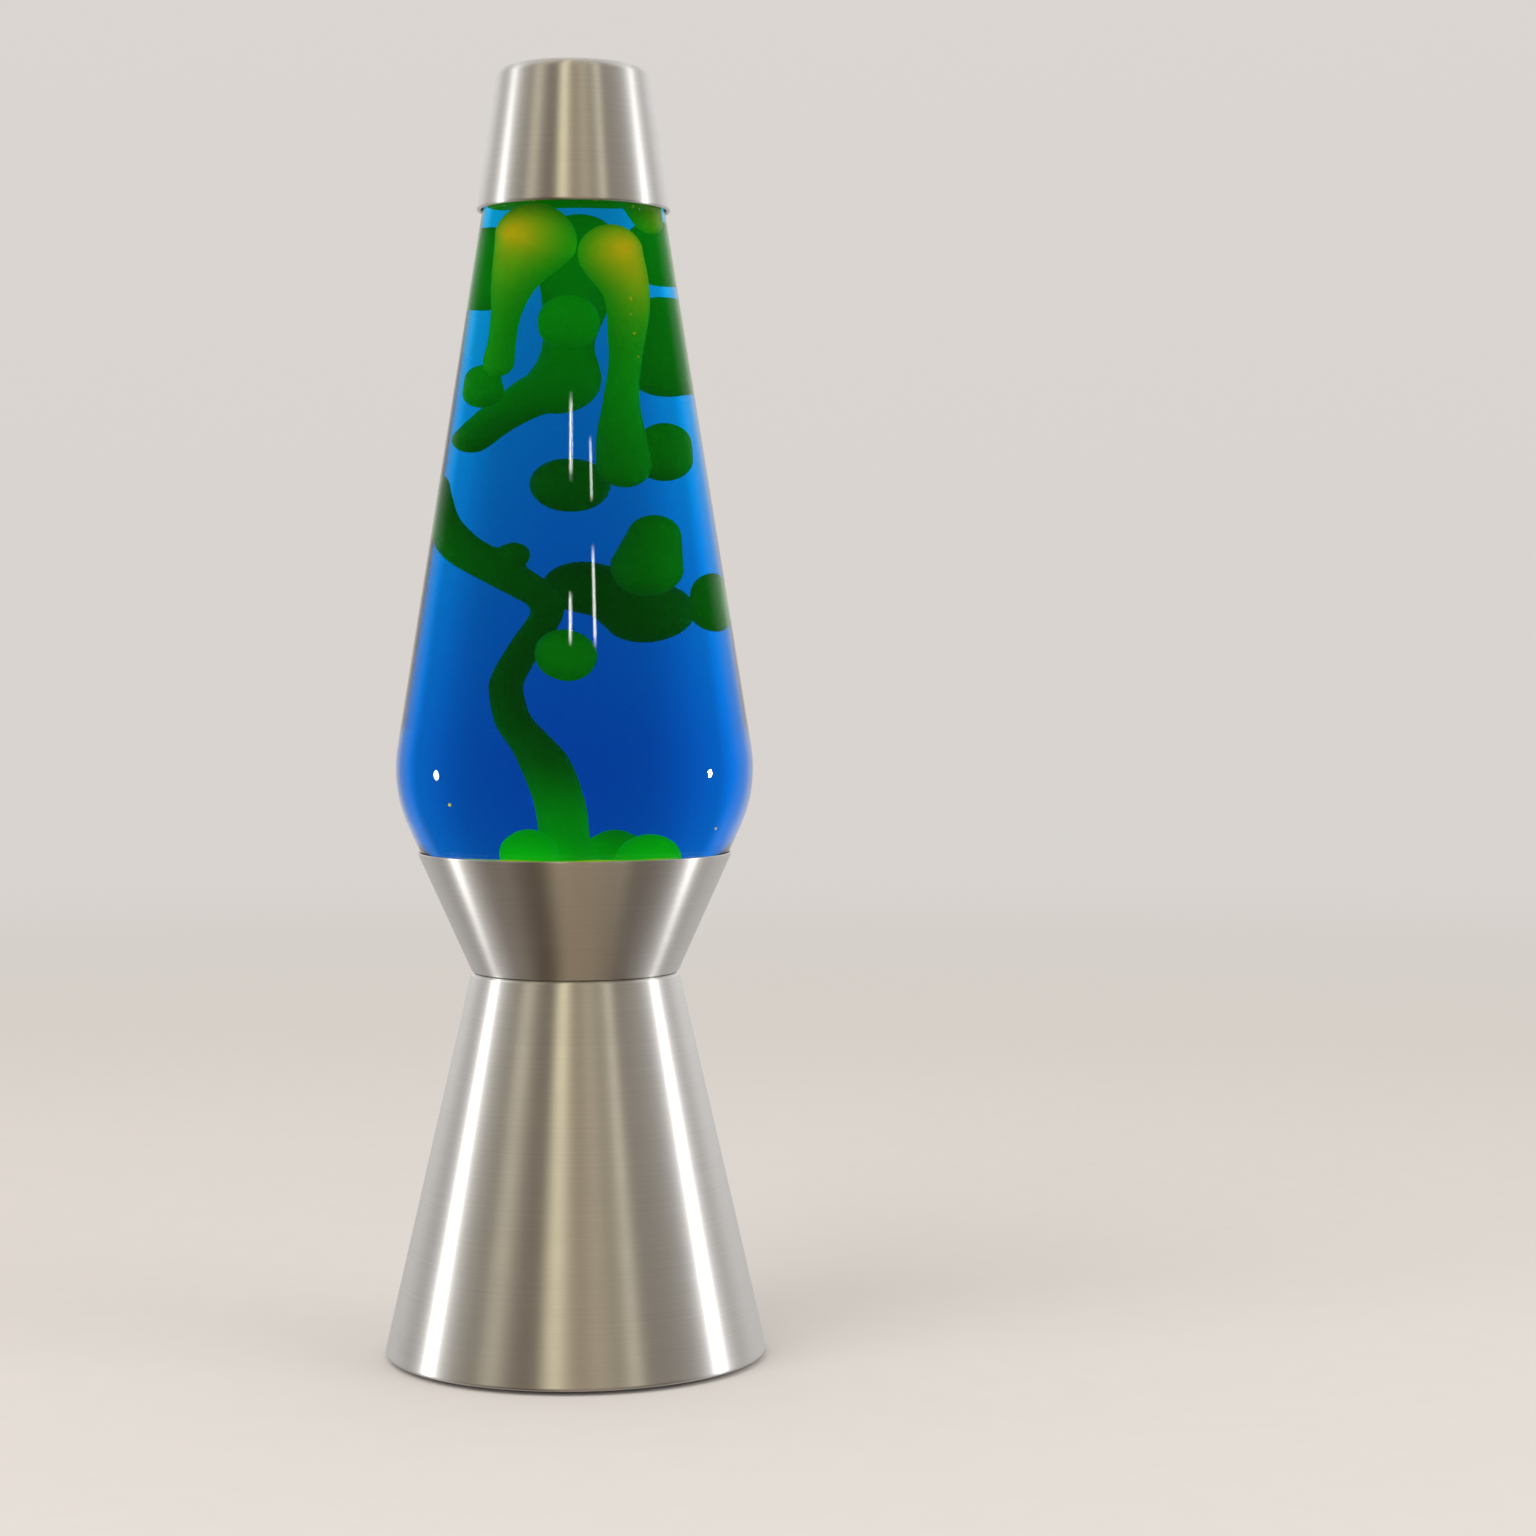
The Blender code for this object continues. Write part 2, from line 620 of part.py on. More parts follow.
def cone_radius(z, inset=0.0):
    """The radius of the globe's lower cone, or of a face set in from it."""
    seat = CUP_RIM_R + GLOBE_FLARE * (z - CUP_RIM_Z)
    return seat - (CUP_SHEET + GAP + inset) * math.hypot(1, GLOBE_FLARE)


def globe_corners():
    """The globe's outer outline, from the middle of its floor to the top of its neck."""
    belly_z = (SHOULDER_R + GLOBE_TAPER * SHOULDER_Z - cone_radius(0)) / (GLOBE_FLARE + GLOBE_TAPER)
    return [
        (0, GLOBE_FLOOR_Z, 0),
        (cone_radius(GLOBE_FLOOR_Z), GLOBE_FLOOR_Z, 0.0060),
        (cone_radius(belly_z), belly_z, BELLY_FILLET),
        (SHOULDER_R, SHOULDER_Z, 0.0080),
        (NECK_R, NECK_FOOT_Z, 0.0020),
        (NECK_R, NECK_TOP_Z, 0),
    ]


def build_globe(material):
    corners = globe_corners()
    outer, inner = rounded(corners), rounded(offset(corners, GLASS_WALL))
    turn("globe_glass", outer + inner[::-1], material)


def build_closure(materials):
    """The sheet-metal closure on the neck and the liner that seals it."""
    corners = [(CLOSURE_R, CLOSURE_Z, 0), (CLOSURE_R, CLOSURE_TOP_Z, 0.0015), (0, CLOSURE_TOP_Z, 0)]
    turn("globe_closure", sheet_loop(corners, CLOSURE_SHEET), materials["closure"], 20)
    low, high = NECK_TOP_Z + GAP, CLOSURE_TOP_Z - CLOSURE_SHEET - GAP
    turn("closure_liner", [(0, low), (LINER_R, low), (LINER_R, high), (0, high)], materials["liner"], 20)


def build_coil(material):
    """The heating coil as its outer ring, lying on the glass floor."""
    z = GLOBE_FLOOR_Z + GLASS_WALL + 2 * GAP + COIL_WIRE_R
    angles = [math.tau * i / 6 for i in range(6)]
    loop = [(COIL_R + COIL_WIRE_R * math.cos(a), z + COIL_WIRE_R * math.sin(a)) for a in angles]
    turn("heating_coil", loop, material, 24)


# ---- wax and liquid ----


def wax_tip(middle, way, radius, side):
    """The rings of a round end, from its base to its point, behind (-1) or ahead (1) of its middle."""
    angles = (math.radians(45), math.radians(90))
    return [(middle + way * side * radius * math.sin(angle), way, radius * math.cos(angle)) for angle in angles]


def wax_rings(knots, grow):
    """(centre, direction, radius) of each ring along a piece of wax, with its round ends."""
    middles = [Vector(knot[:3]) / 1000 for knot in knots]
    radii = [knot[3] / 1000 + grow for knot in knots]
    ways = [(b - a).normalized() for a, b in zip(middles[:1] + middles, middles[1:] + middles[-1:])]
    first = wax_tip(middles[0], ways[0], radii[0], -1)
    last = wax_tip(middles[-1], ways[-1], radii[-1], 1)
    return [*first[::-1], *zip(middles, ways, radii), *last]


def wax_mesh(knots, grow=0.0):
    """A closed skin round a piece of wax, carried along its middle without twisting."""
    bm = bmesh.new()
    side = wax_rings(knots, grow)[0][1].orthogonal().normalized()
    rings = []
    for centre, way, radius in wax_rings(knots, grow):
        if radius < 1e-6:
            rings.append([bm.verts.new(centre)])
            continue
        side = (side - way * side.dot(way)).normalized()
        other = way.cross(side)
        angles = [WAX_TURN + math.tau * k / WAX_SEGMENTS for k in range(WAX_SEGMENTS)]
        rings.append([bm.verts.new(centre + radius * (side * math.cos(a) + other * math.sin(a))) for a in angles])
    for lower, upper in zip(rings, rings[1:]):
        bridge(bm, lower, upper)
    return bm


def ball_mesh(ball, grow=0.0):
    x, y, z, r = ball
    bm = bmesh.new()
    bmesh.ops.create_icosphere(bm, subdivisions=2, radius=r / 1000 + grow)
    bmesh.ops.translate(bm, verts=bm.verts, vec=Vector((x, y, z)) / 1000)
    return bm


def build_pool(material):
    """The wax at the bottom, stepped to clear the coil, with its mounds and the column that rises from it."""
    inset = GLASS_WALL + GAP
    floor = GLOBE_FLOOR_Z + inset
    step = floor + POOL_STEP
    loop = [
        (0, floor),
        (POOL_FOOT_R, floor),
        (POOL_FOOT_R, step),
        (cone_radius(step, inset), step),
        (cone_radius(POOL_TOP_Z, inset), POOL_TOP_Z),
        (0, POOL_TOP_Z),
    ]
    pool = turn("wax_pool", loop, material)
    return combine(pool, "UNION", [wax_mesh(WAX_COLUMN), *[ball_mesh(mound) for mound in WAX_MOUNDS]])


def channel_mesh(knots):
    """A hair-thin way from a piece of wax straight out to the glass, so that its hollow isn't sealed."""
    centre = Vector(knots[0][:3]) / 1000
    outward = Vector((centre.x, centre.y, 0)).normalized() * 0.1
    return rod_mesh(CHANNEL_R, centre, outward + Vector((0, 0, centre.z)), segments=3)


def build_liquid(material):
    """The liquid that fills the globe round the wax."""
    inset = GLASS_WALL + GAP
    bottom = POOL_TOP_Z + GAP
    inner = offset(globe_corners(), inset)
    corners = [(0, bottom, 0), (cone_radius(bottom, inset), bottom, 0), *inner[2:-1]]
    corners += [(NECK_R - inset, LIQUID_TOP_Z, 0), (0, LIQUID_TOP_Z, 0)]
    liquid = turn("masking_liquid", rounded(corners), material)
    cuts = [wax_mesh(WAX_COLUMN, WAX_CLEARANCE), *[ball_mesh(mound, WAX_CLEARANCE) for mound in WAX_MOUNDS]]
    for knots in WAX_PIECES.values():
        cuts += [wax_mesh(knots, WAX_CLEARANCE), channel_mesh(knots)]
    return combine(liquid, "DIFFERENCE", cuts)


def build_wax(material):
    build_pool(material)
    for name, knots in WAX_PIECES.items():
        add_object(name, wax_mesh(knots), material)


# ---- cap ----


def build_cap(material):
    edge_z = LAMP_HEIGHT - CAP_DOME
    corners = [
        (CAP_LIP_R, CAP_RIM_Z, 0),
        (CAP_RIM_R, CAP_RIM_Z, 0.0013),
        (CAP_RIM_R - CAP_SLOPE * (edge_z - CAP_RIM_Z), edge_z, 0.0060),
        (0, LAMP_HEIGHT, 0),
    ]
    turn("top_cap", sheet_loop(corners, CAP_SHEET), material)


def main():
    clear_scene()
    materials = make_materials()
    build_skirt(materials["aluminium"])
    build_cup(materials["aluminium"])
    build_bottom_plate(materials["plate"])
    build_feet(materials["rubber"])
    build_grommet(materials["rubber"])
    build_waist_fasteners(materials["steel"])
    build_bracket(materials["steel"])
    build_socket_body(materials["porcelain"])
    build_socket_screws(materials["steel"])
    build_terminals(materials["brass"])
    build_socket_contact(materials["brass"])
    build_socket_shell(materials["brass"])
    build_bulb(materials)
    build_globe(materials["glass"])
    build_closure(materials)
    build_coil(materials["steel"])
    build_wax(materials["wax"])
    build_liquid(materials["liquid"])
    build_cap(materials["aluminium"])


main()
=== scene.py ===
"""The lava lamp's looks: turned shells, soft wax, real threads and screws, and procedural finishes."""

import json
from math import ceil, copysign, cos, degrees, hypot, pi, radians, sin, tan, tau

import bmesh
import bpy
from mathutils import Matrix, Vector, noise

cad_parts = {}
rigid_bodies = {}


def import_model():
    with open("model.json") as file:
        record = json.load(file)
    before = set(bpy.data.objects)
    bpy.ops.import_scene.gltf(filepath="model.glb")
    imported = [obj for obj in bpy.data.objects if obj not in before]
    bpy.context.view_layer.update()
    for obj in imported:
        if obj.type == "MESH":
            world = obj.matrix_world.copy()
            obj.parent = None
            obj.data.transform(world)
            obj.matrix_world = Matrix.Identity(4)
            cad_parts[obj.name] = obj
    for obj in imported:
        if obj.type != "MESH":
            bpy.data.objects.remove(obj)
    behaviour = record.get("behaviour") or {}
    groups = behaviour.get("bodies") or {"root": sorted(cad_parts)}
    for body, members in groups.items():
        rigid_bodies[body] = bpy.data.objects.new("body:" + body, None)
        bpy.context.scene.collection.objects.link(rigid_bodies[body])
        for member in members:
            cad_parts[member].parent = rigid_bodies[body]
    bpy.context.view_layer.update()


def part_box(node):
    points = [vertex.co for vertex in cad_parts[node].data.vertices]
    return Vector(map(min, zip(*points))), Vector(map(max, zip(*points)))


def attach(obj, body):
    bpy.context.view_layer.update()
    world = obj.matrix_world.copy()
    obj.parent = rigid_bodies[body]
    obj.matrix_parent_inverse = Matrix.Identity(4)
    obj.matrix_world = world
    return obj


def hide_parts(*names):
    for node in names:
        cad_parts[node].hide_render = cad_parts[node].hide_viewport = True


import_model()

UP = Vector((0, 0, 1))
GAP = 0.0003
LARGE, BROAD, MEDIUM, SMALL = 224, 128, 96, 48  # segments round shells, the plate, the socket and screws


def top(node):
    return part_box(node)[1].z


def foot(node):
    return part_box(node)[0].z


def reach(node):
    """A turned node's widest radius."""
    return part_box(node)[1].x


# Sizes that the frame's boxes don't give
SHEET = 0.0012
CUP_SHEET = 0.001
GLASS_WALL = 0.004
WAIST_OPENING_R = 0.037
HEM_LIP_R = 0.0965
FOOT_CIRCLE_R = 0.084
SKIRT_SLOPE = 0.230
CUP_FOOT_R = 0.0551
GLOBE_TAPER = 0.1616
SHOULDER = (0.04475, 0.632)
BELLY_FILLET = 0.074
NECK_R = 0.0200
FLUTES = 21
NECK_FOOT_Z = 0.644
CAP_SLOPE = 0.1535
CAP_DOME = 0.0013
INLET_Z = 0.0165
INLET_HOLE_R = 0.005
WAIST_SCREW_CIRCLE_R = 0.0455
WAIST_HOLE_R = 0.0023
NUT_CORNER_R = 0.0036
SOCKET_SCREW_X = 0.0125
SOCKET_FLOOR_Z = 0.0975
SOCKET_BORE_R = 0.0148
THREAD_PITCH = 0.00363
THREAD_WAVE = 0.00035

HEM_Z, HEM_R, WAIST_Z = foot("base_skirt"), reach("base_skirt"), top("base_skirt")
CUP_Z, CUP_RIM_Z, CUP_RIM_R = foot("globe_cup"), top("globe_cup"), reach("globe_cup")
GLOBE_Z, NECK_TOP_Z = foot("globe_glass"), top("globe_glass")
CAP_RIM_Z, CAP_TOP_Z, CAP_RIM_R = foot("top_cap"), top("top_cap"), reach("top_cap")
GLOBE_FLARE = (CUP_RIM_R - CUP_FOOT_R) / (CUP_RIM_Z - CUP_Z)


# ---- outlines ----


def turned_corner(before, corner, after, fillet):
    """The points of a rounded corner: an arc tangent to both of its straight runs."""
    inward, onward = (before - corner).normalized(), (after - corner).normalized()
    turn_angle = pi - inward.angle(onward)
    if fillet <= 0 or turn_angle < radians(1):
        return [corner]
    tangent = fillet * tan(turn_angle / 2)
    middle = corner + (inward + onward).normalized() * (fillet / cos(turn_angle / 2))
    start, end = corner + inward * tangent - middle, corner + onward * tangent - middle
    steps = max(4, ceil(degrees(turn_angle) / (3 if fillet > 0.01 else 12)))
    sign = copysign(1, start.x * end.y - start.y * end.x)
    return [middle + Matrix.Rotation(sign * turn_angle * i / steps, 2) @ start for i in range(steps + 1)]


def rounded(corners):
    """An open outline of (r, z, fillet) corners as plain (r, z) points."""
    points = [Vector(corner[:2]) for corner in corners]
    outline = [points[0]]
    for i in range(1, len(points) - 1):
        outline += turned_corner(points[i - 1], points[i], points[i + 1], corners[i][2])
    outline.append(points[-1])
    return [(max(point.x, 0.0), point.y) for point in outline]


def offset(corners, distance):
    """The same outline moved to its left, with its fillets still concentric."""
    points = [Vector(corner[:2]) for corner in corners]
    runs = [(after - before).normalized() for before, after in zip(points, points[1:])]
    lefts = [Vector((-run.y, run.x)) for run in runs]
    moved = [(*(points[0] + lefts[0] * distance), 0)]
    for i in range(1, len(points) - 1):
        bisector = (lefts[i - 1] + lefts[i]).normalized()
        place = points[i] + bisector * (distance / bisector.dot(lefts[i]))
        left_turn = runs[i - 1].x * runs[i].y - runs[i - 1].y * runs[i].x > 0
        fillet = corners[i][2]
        if fillet > 0:
            fillet = max(fillet - distance if left_turn else fillet + distance, 0)
        moved.append((*place, fillet))
    moved.append((*(points[-1] + lefts[-1] * distance), 0))
    return moved


def round_end(start, end):
    """Points of a half circle from one face of a sheet's edge round to the other."""
    start, end, steps = Vector(start), Vector(end), 6
    middle, arm = (start + end) / 2, (start - end) / 2
    return [tuple(middle + Matrix.Rotation(pi * i / steps, 2) @ arm) for i in range(1, steps)]


def sheet_loop(corners, thickness):
    """The closed loop of a sheet under an outline of corners; a raw edge away from the axis is rounded."""
    outer, inner = rounded(corners), rounded(offset(corners, thickness))[::-1]
    end = round_end(outer[-1], inner[0]) if corners[-1][0] else []
    start = round_end(inner[-1], outer[0]) if corners[0][0] else []
    return outer + end + inner + start


# ---- meshes ----


def bridge(bm, lower, upper):
    """Faces between two rings; a ring of one vertex is a point on the axis."""
    count = max(len(lower), len(upper))
    if count == 1:
        return
    for k in range(count):
        corners = [lower[k % len(lower)], lower[(k + 1) % len(lower)]]
        corners += [upper[(k + 1) % len(upper)], upper[k % len(upper)]]
        bm.faces.new(dict.fromkeys(corners))


def turned(loop, segments, shape=None):
    """A solid turned about Z from a closed loop of (r, z); shape(r, z, angle) moves the marked points."""
    bm = bmesh.new()
    rings = []
    for r, z, *marked in loop:
        if r < 1e-6:
            rings.append([bm.verts.new((0, 0, z))])
            continue
        angles = [tau * k / segments for k in range(segments)]
        radii = [shape(r, z, a) if marked else r for a in angles]
        rings.append([bm.verts.new((q * cos(a), q * sin(a), z)) for q, a in zip(radii, angles)])
    for lower, upper in zip(rings, rings[1:] + rings[:1]):
        bridge(bm, lower, upper)
    return bm


def rod(radius, start, end, segments=SMALL):
    start, end = Vector(start), Vector(end)
    bm = bmesh.new()
    bmesh.ops.create_cone(
        bm, cap_ends=True, segments=segments, radius1=radius, radius2=radius, depth=(end - start).length
    )
    way = (end - start).to_track_quat("Z", "Y").to_matrix().to_4x4()
    bm.transform(Matrix.Translation((start + end) / 2) @ way)
    return bm


def slab(outline, thickness, place):
    """A flat outline of (x, y) points, drawn from z = 0 to the thickness."""
    bm = bmesh.new()
    low, high = ([bm.verts.new((x, y, z)) for x, y in outline] for z in (0, thickness))
    bridge(bm, low, high)
    bm.faces.new(low[::-1])
    bm.faces.new(high)
    bm.transform(place)
    return bm


def sweep(points, radii, segments):
    """A tube along a path, carried along it without twisting, with flat ends."""
    bm = bmesh.new()
    ways = [(b - a).normalized() for a, b in zip(points[:1] + points, points[1:] + points[-1:])]
    ways = [(a + b).normalized() for a, b in zip(ways, ways[1:] + ways[-1:])]
    side = ways[0].orthogonal().normalized()
    rings = []
    for centre, way, radius in zip(points, ways, radii):
        side = (side - way * side.dot(way)).normalized()
        other = way.cross(side)
        angles = [tau * k / segments for k in range(segments)]
        arms = [side * cos(a) + other * sin(a) for a in angles]
        rings.append([bm.verts.new(centre + radius * arm) for arm in arms])
    for lower, upper in zip(rings, rings[1:]):
        bridge(bm, lower, upper)
    bm.faces.new(rings[0][::-1])
    bm.faces.new(rings[-1])
    return bm


def outward(bm):
    if bm.calc_volume(signed=True) < 0:
        bmesh.ops.reverse_faces(bm, faces=bm.faces)
    return bm


def link(obj):
    bpy.context.scene.collection.objects.link(obj)


def loose_object(bm, name="tool"):
    mesh = bpy.data.meshes.new(name)
    outward(bm).to_mesh(mesh)
    bm.free()
    return bpy.data.objects.new(name, mesh)


def merged(bms):
    """One mesh from several, each with its faces outward."""
    joined = bmesh.new()
    for bm in bms:
        part = loose_object(bm)
        joined.from_mesh(part.data)
        bpy.data.objects.remove(part)
    return joined


def applied(obj):
    """The object's mesh after its modifiers, as a new bmesh."""
    bpy.context.view_layer.update()
    evaluated = obj.evaluated_get(bpy.context.evaluated_depsgraph_get())
    bm = bmesh.new()
    bm.from_mesh(evaluated.to_mesh())
    evaluated.to_mesh_clear()
    return bm


def combine(bm, tools, operation="DIFFERENCE"):
    """Cut the tools from a mesh, or join them to it."""
    target = loose_object(bm)
    link(target)
    guides = bpy.data.collections.new("guides")
    for tool in tools:
        guides.objects.link(loose_object(tool))
    bpy.context.scene.collection.children.link(guides)
    modifier = target.modifiers.new(operation, "BOOLEAN")
    modifier.operation, modifier.operand_type = operation, "COLLECTION"
    modifier.collection, modifier.solver = guides, "EXACT"
    modifier.use_self = True
    result = applied(target)
    for obj in [target, *guides.objects]:
        bpy.data.objects.remove(obj)
    bpy.data.collections.remove(guides)
    return result


def piece(name, bm, material, body, node, sharp=32):
    """A finished piece that rides a body, stands for a CAD node and takes the given material."""
    obj = loose_object(bm, name)
    obj.data.shade_smooth()
    obj.data.set_sharp_from_angle(angle=radians(sharp))
    obj.data.materials.append(material)
    link(obj)
    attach(obj, body)
    if node:
        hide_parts(node)


def circle_points(count, radius, z=0.0, first=0.0):
    angles = [first + tau * i / count for i in range(count)]
    return [Vector((radius * cos(angle), radius * sin(angle), z)) for angle in angles]


# ---- node materials ----


class Tree:
    """Adds nodes to a node tree, with inputs given as values or as sockets."""

    def __init__(self, owner):
        owner.use_nodes = True
        self.owner, self.tree = owner, owner.node_tree
        self.tree.nodes.clear()

    def add(self, kind, inputs=None, **settings):
        node = self.tree.nodes.new(f"ShaderNode{kind}")
        for key, value in settings.items():
            setattr(node, key, value)
        for key, value in (inputs or {}).items():
            if isinstance(value, bpy.types.NodeSocket):
                self.tree.links.new(value, node.inputs[key])
            else:
                node.inputs[key].default_value = value
        return node

    def math(self, operation, *values):
        return self.add("Math", dict(enumerate(values)), operation=operation).outputs[0]

    def mix(self, factor, *colours):
        first, second = ((*colour, 1) if isinstance(colour, tuple) else colour for colour in colours)
        return self.add("Mix", {"Factor": factor, 6: first, 7: second}, data_type="RGBA").outputs[2]

    def ramp(self, factor, stops, smooth=True):
        node = self.add("ValToRGB", {"Fac": factor})
        node.color_ramp.interpolation = "EASE" if smooth else "LINEAR"
        elements = node.color_ramp.elements
        while len(elements) < len(stops):
            elements.new(0.5)
        for element, (position, value) in zip(elements, sorted(stops)):
            element.position = position
            element.color = (*value, 1) if isinstance(value, tuple) else (value, value, value, 1)
        return node.outputs["Color"]

    def noise(self, vector, scale, detail=3.0, roughness=0.55, distortion=0.0):
        values = {"Vector": vector, "Scale": scale, "Detail": detail}
        values |= {"Roughness": roughness, "Distortion": distortion}
        return self.add("TexNoise", values).outputs["Fac"]

    def bump(self, height, strength, distance):
        values = {"Height": height, "Strength": strength, "Distance": distance}
        return self.add("Bump", values).outputs["Normal"]


def material_tree(name):
    return Tree(bpy.data.materials.new(name))


def finish(tree, inputs, **volume):
    """The tree's material, with its shader set from values and sockets."""
    shader = tree.add("BsdfPrincipled", inputs)
    tree.add("OutputMaterial", {"Surface": shader.outputs[0], **volume})
    return tree.owner


def shade(colour, amount):
    return tuple(min(c * amount, 1) for c in colour)


def object_place(tree):
    return tree.add("TexCoord").outputs["Object"]


def spun_place(tree, along, across):
    """Coordinates that run slowly round the axis and fast across the lines left by spinning."""
    place = object_place(tree)
    axes = tree.add("SeparateXYZ", {0: place}).outputs
    flat = tree.add("CombineXYZ", {0: axes[0], 1: axes[1]}).outputs[0]
    radius = tree.add("VectorMath", {0: flat}, operation="LENGTH").outputs["Value"]
    run = tree.math("MULTIPLY", tree.math("ADD", radius, axes[2]), across)
    turned_x, turned_y = (tree.math("MULTIPLY", axes[i], along) for i in (0, 1))
    return tree.add("CombineXYZ", {0: turned_x, 1: turned_y, 2: run}).outputs[0]


def spun_metal(name, colour, roughness, anisotropy=0.95, line=0.05, worn=0.0):
    """Metal turned on a lathe: fine rings, streaks that stand across them, a few scratches and smudges."""
    tree = material_tree(name)
    rings = tree.noise(spun_place(tree, 9.0, 1700.0), 1.0, 4.0, 0.7)
    bands = tree.noise(spun_place(tree, 3.0, 110.0), 1.0, 3.0)
    smudge = tree.noise(object_place(tree), 16.0, 4.0, 0.6, 0.6)
    scratches = tree.ramp(tree.noise(spun_place(tree, 40.0, 5200.0), 1.0, 1.0), [(0.69, 0.0), (0.76, 1.0)])
    tint = tree.mix(tree.ramp(rings, [(0.30, 0.0), (0.70, 1.0)]), shade(colour, 0.93), colour)
    tint = tree.mix(tree.math("MULTIPLY", scratches, 0.45 + worn), tint, shade(colour, 1.2))
    rough = tree.math("MULTIPLY_ADD", rings, 0.10, roughness - 0.08)
    rough = tree.math("MULTIPLY_ADD", bands, 0.06, rough)
    rough = tree.math("MULTIPLY_ADD", smudge, 0.05, rough)
    height = tree.math("ADD", rings, tree.math("MULTIPLY", scratches, -0.8))
    return finish(tree, {
        "Base Color": tint, "Metallic": 1.0, "Roughness": rough,
        "Anisotropic": anisotropy, "Anisotropic Rotation": 0.25,
        "Tangent": tree.add("Tangent", direction_type="RADIAL", axis="Z").outputs[0],
        "Normal": tree.bump(height, line, 0.0002),
    })


def plated(name, colour, roughness, mottle=0.10, grain=600.0, metallic=1.0, bump=0.10):
    """Plated, cast or painted metal: a fine grain under a cloudy tone."""
    tree = material_tree(name)
    place = object_place(tree)
    cloud = tree.noise(place, 90.0, 4.0)
    fine = tree.noise(place, grain, 3.0)
    tint = tree.mix(cloud, shade(colour, 1 - mottle), shade(colour, 1 + mottle))
    rough = tree.math("MULTIPLY_ADD", cloud, 0.16, roughness - 0.08)
    return finish(tree, {
        "Base Color": tint, "Metallic": metallic, "Roughness": rough,
        "Normal": tree.bump(fine, bump, 0.0002),
    })


def clear_glass():
    """Blown glass: colourless, with the faintest waves that the mould leaves."""
    tree = material_tree("clear_glass")
    wave = tree.noise(spun_place(tree, 7.0, 26.0), 1.0, 1.0)
    tint = tree.mix(tree.noise(object_place(tree), 8.0), (0.97, 0.985, 0.98), (1.0, 1.0, 1.0))
    return finish(tree, {
        "Base Color": tint, "Roughness": 0.0, "IOR": 1.5, "Transmission Weight": 1.0,
        "Normal": tree.bump(wave, 0.02, 0.0006),
    })


def blue_liquid():
    """Dyed liquid: clear at its surface, and it takes red and then green out of light with depth."""
    tree = material_tree("blue_liquid")
    drift = tree.noise(object_place(tree), 11.0, 2.0)
    tint = tree.mix(drift, (0.96, 0.985, 1.0), (1.0, 1.0, 1.0))
    dye = tree.add("VolumeAbsorption", {"Density": LIQUID_DENSITY, "Color": (*LIQUID_COLOUR, 1)})
    return finish(tree, {
        "Base Color": tint, "Roughness": 0.0, "IOR": 1.34, "Transmission Weight": 1.0,
        "Normal": tree.bump(drift, 0.02, 0.0006),
    }, Volume=dye.outputs[0])


def wax_material():
    """Warm wax with painted light: an emission, brightest at the pool, that stands in for the bulb below
    lighting it.
    """
    tree = material_tree("yellow_wax")
    place = object_place(tree)
    height = tree.add("SeparateXYZ", {0: place}).outputs[2]
    cloud = tree.noise(place, 34.0, 3.0, 0.5, 0.4)
    low = foot("wax_pool")
    level = tree.math("DIVIDE", tree.math("SUBTRACT", height, low), WAX_TOP_Z - low)
    # painted light: emission strength by height, standing in for the bulb's light on the wax
    painted_glow = tree.ramp(level, WAX_PAINTED_LIGHT)
    warm = tree.ramp(level, [(0.66, 0.0), (0.88, 1.0)])
    low_tint = tree.mix(cloud, (0.86, 0.66, 0.003), (0.92, 0.74, 0.006))
    tint = tree.mix(warm, low_tint, tree.mix(cloud, (0.86, 0.57, 0.003), (0.89, 0.65, 0.006)))
    return finish(tree, {
        "Base Color": tint, "Roughness": 0.42, "Specular IOR Level": 0.03,
        # painted light: the wax glows though it is no lamp
        "Emission Color": tint, "Emission Strength": painted_glow,
        "Normal": tree.bump(tree.noise(place, 60.0, 2.0), 0.05, 0.001),
    })


def rubber():
    tree = material_tree("black_rubber")
    place = object_place(tree)
    dust = tree.ramp(tree.noise(place, 240.0, 5.0), [(0.45, 0.0), (0.75, 1.0)])
    return finish(tree, {
        "Base Color": tree.mix(tree.math("MULTIPLY", dust, 0.5), (0.014, 0.014, 0.015), (0.07, 0.068, 0.064)),
        "Roughness": tree.math("MULTIPLY_ADD", dust, 0.2, 0.62),
        "Normal": tree.bump(tree.noise(place, 1500.0, 3.0), 0.25, 0.0002),
    })


def porcelain():
    """White glazed ceramic with pinholes, and bare grey-white clay where the glaze thins."""
    tree = material_tree("socket_porcelain")
    place = object_place(tree)
    cloud = tree.noise(place, 120.0, 4.0)
    pits = tree.ramp(tree.noise(place, 1300.0, 2.0), [(0.70, 0.0), (0.78, 1.0)])
    tint = tree.mix(cloud, (0.80, 0.78, 0.72), (0.90, 0.885, 0.85))
    return finish(tree, {
        "Base Color": tree.mix(pits, tint, (0.34, 0.31, 0.27)),
        "Roughness": tree.math("MULTIPLY_ADD", cloud, 0.25, 0.10), "Coat Weight": 0.5, "Coat Roughness": 0.06,
        "Normal": tree.bump(tree.math("SUBTRACT", cloud, pits), 0.15, 0.0003),
    })


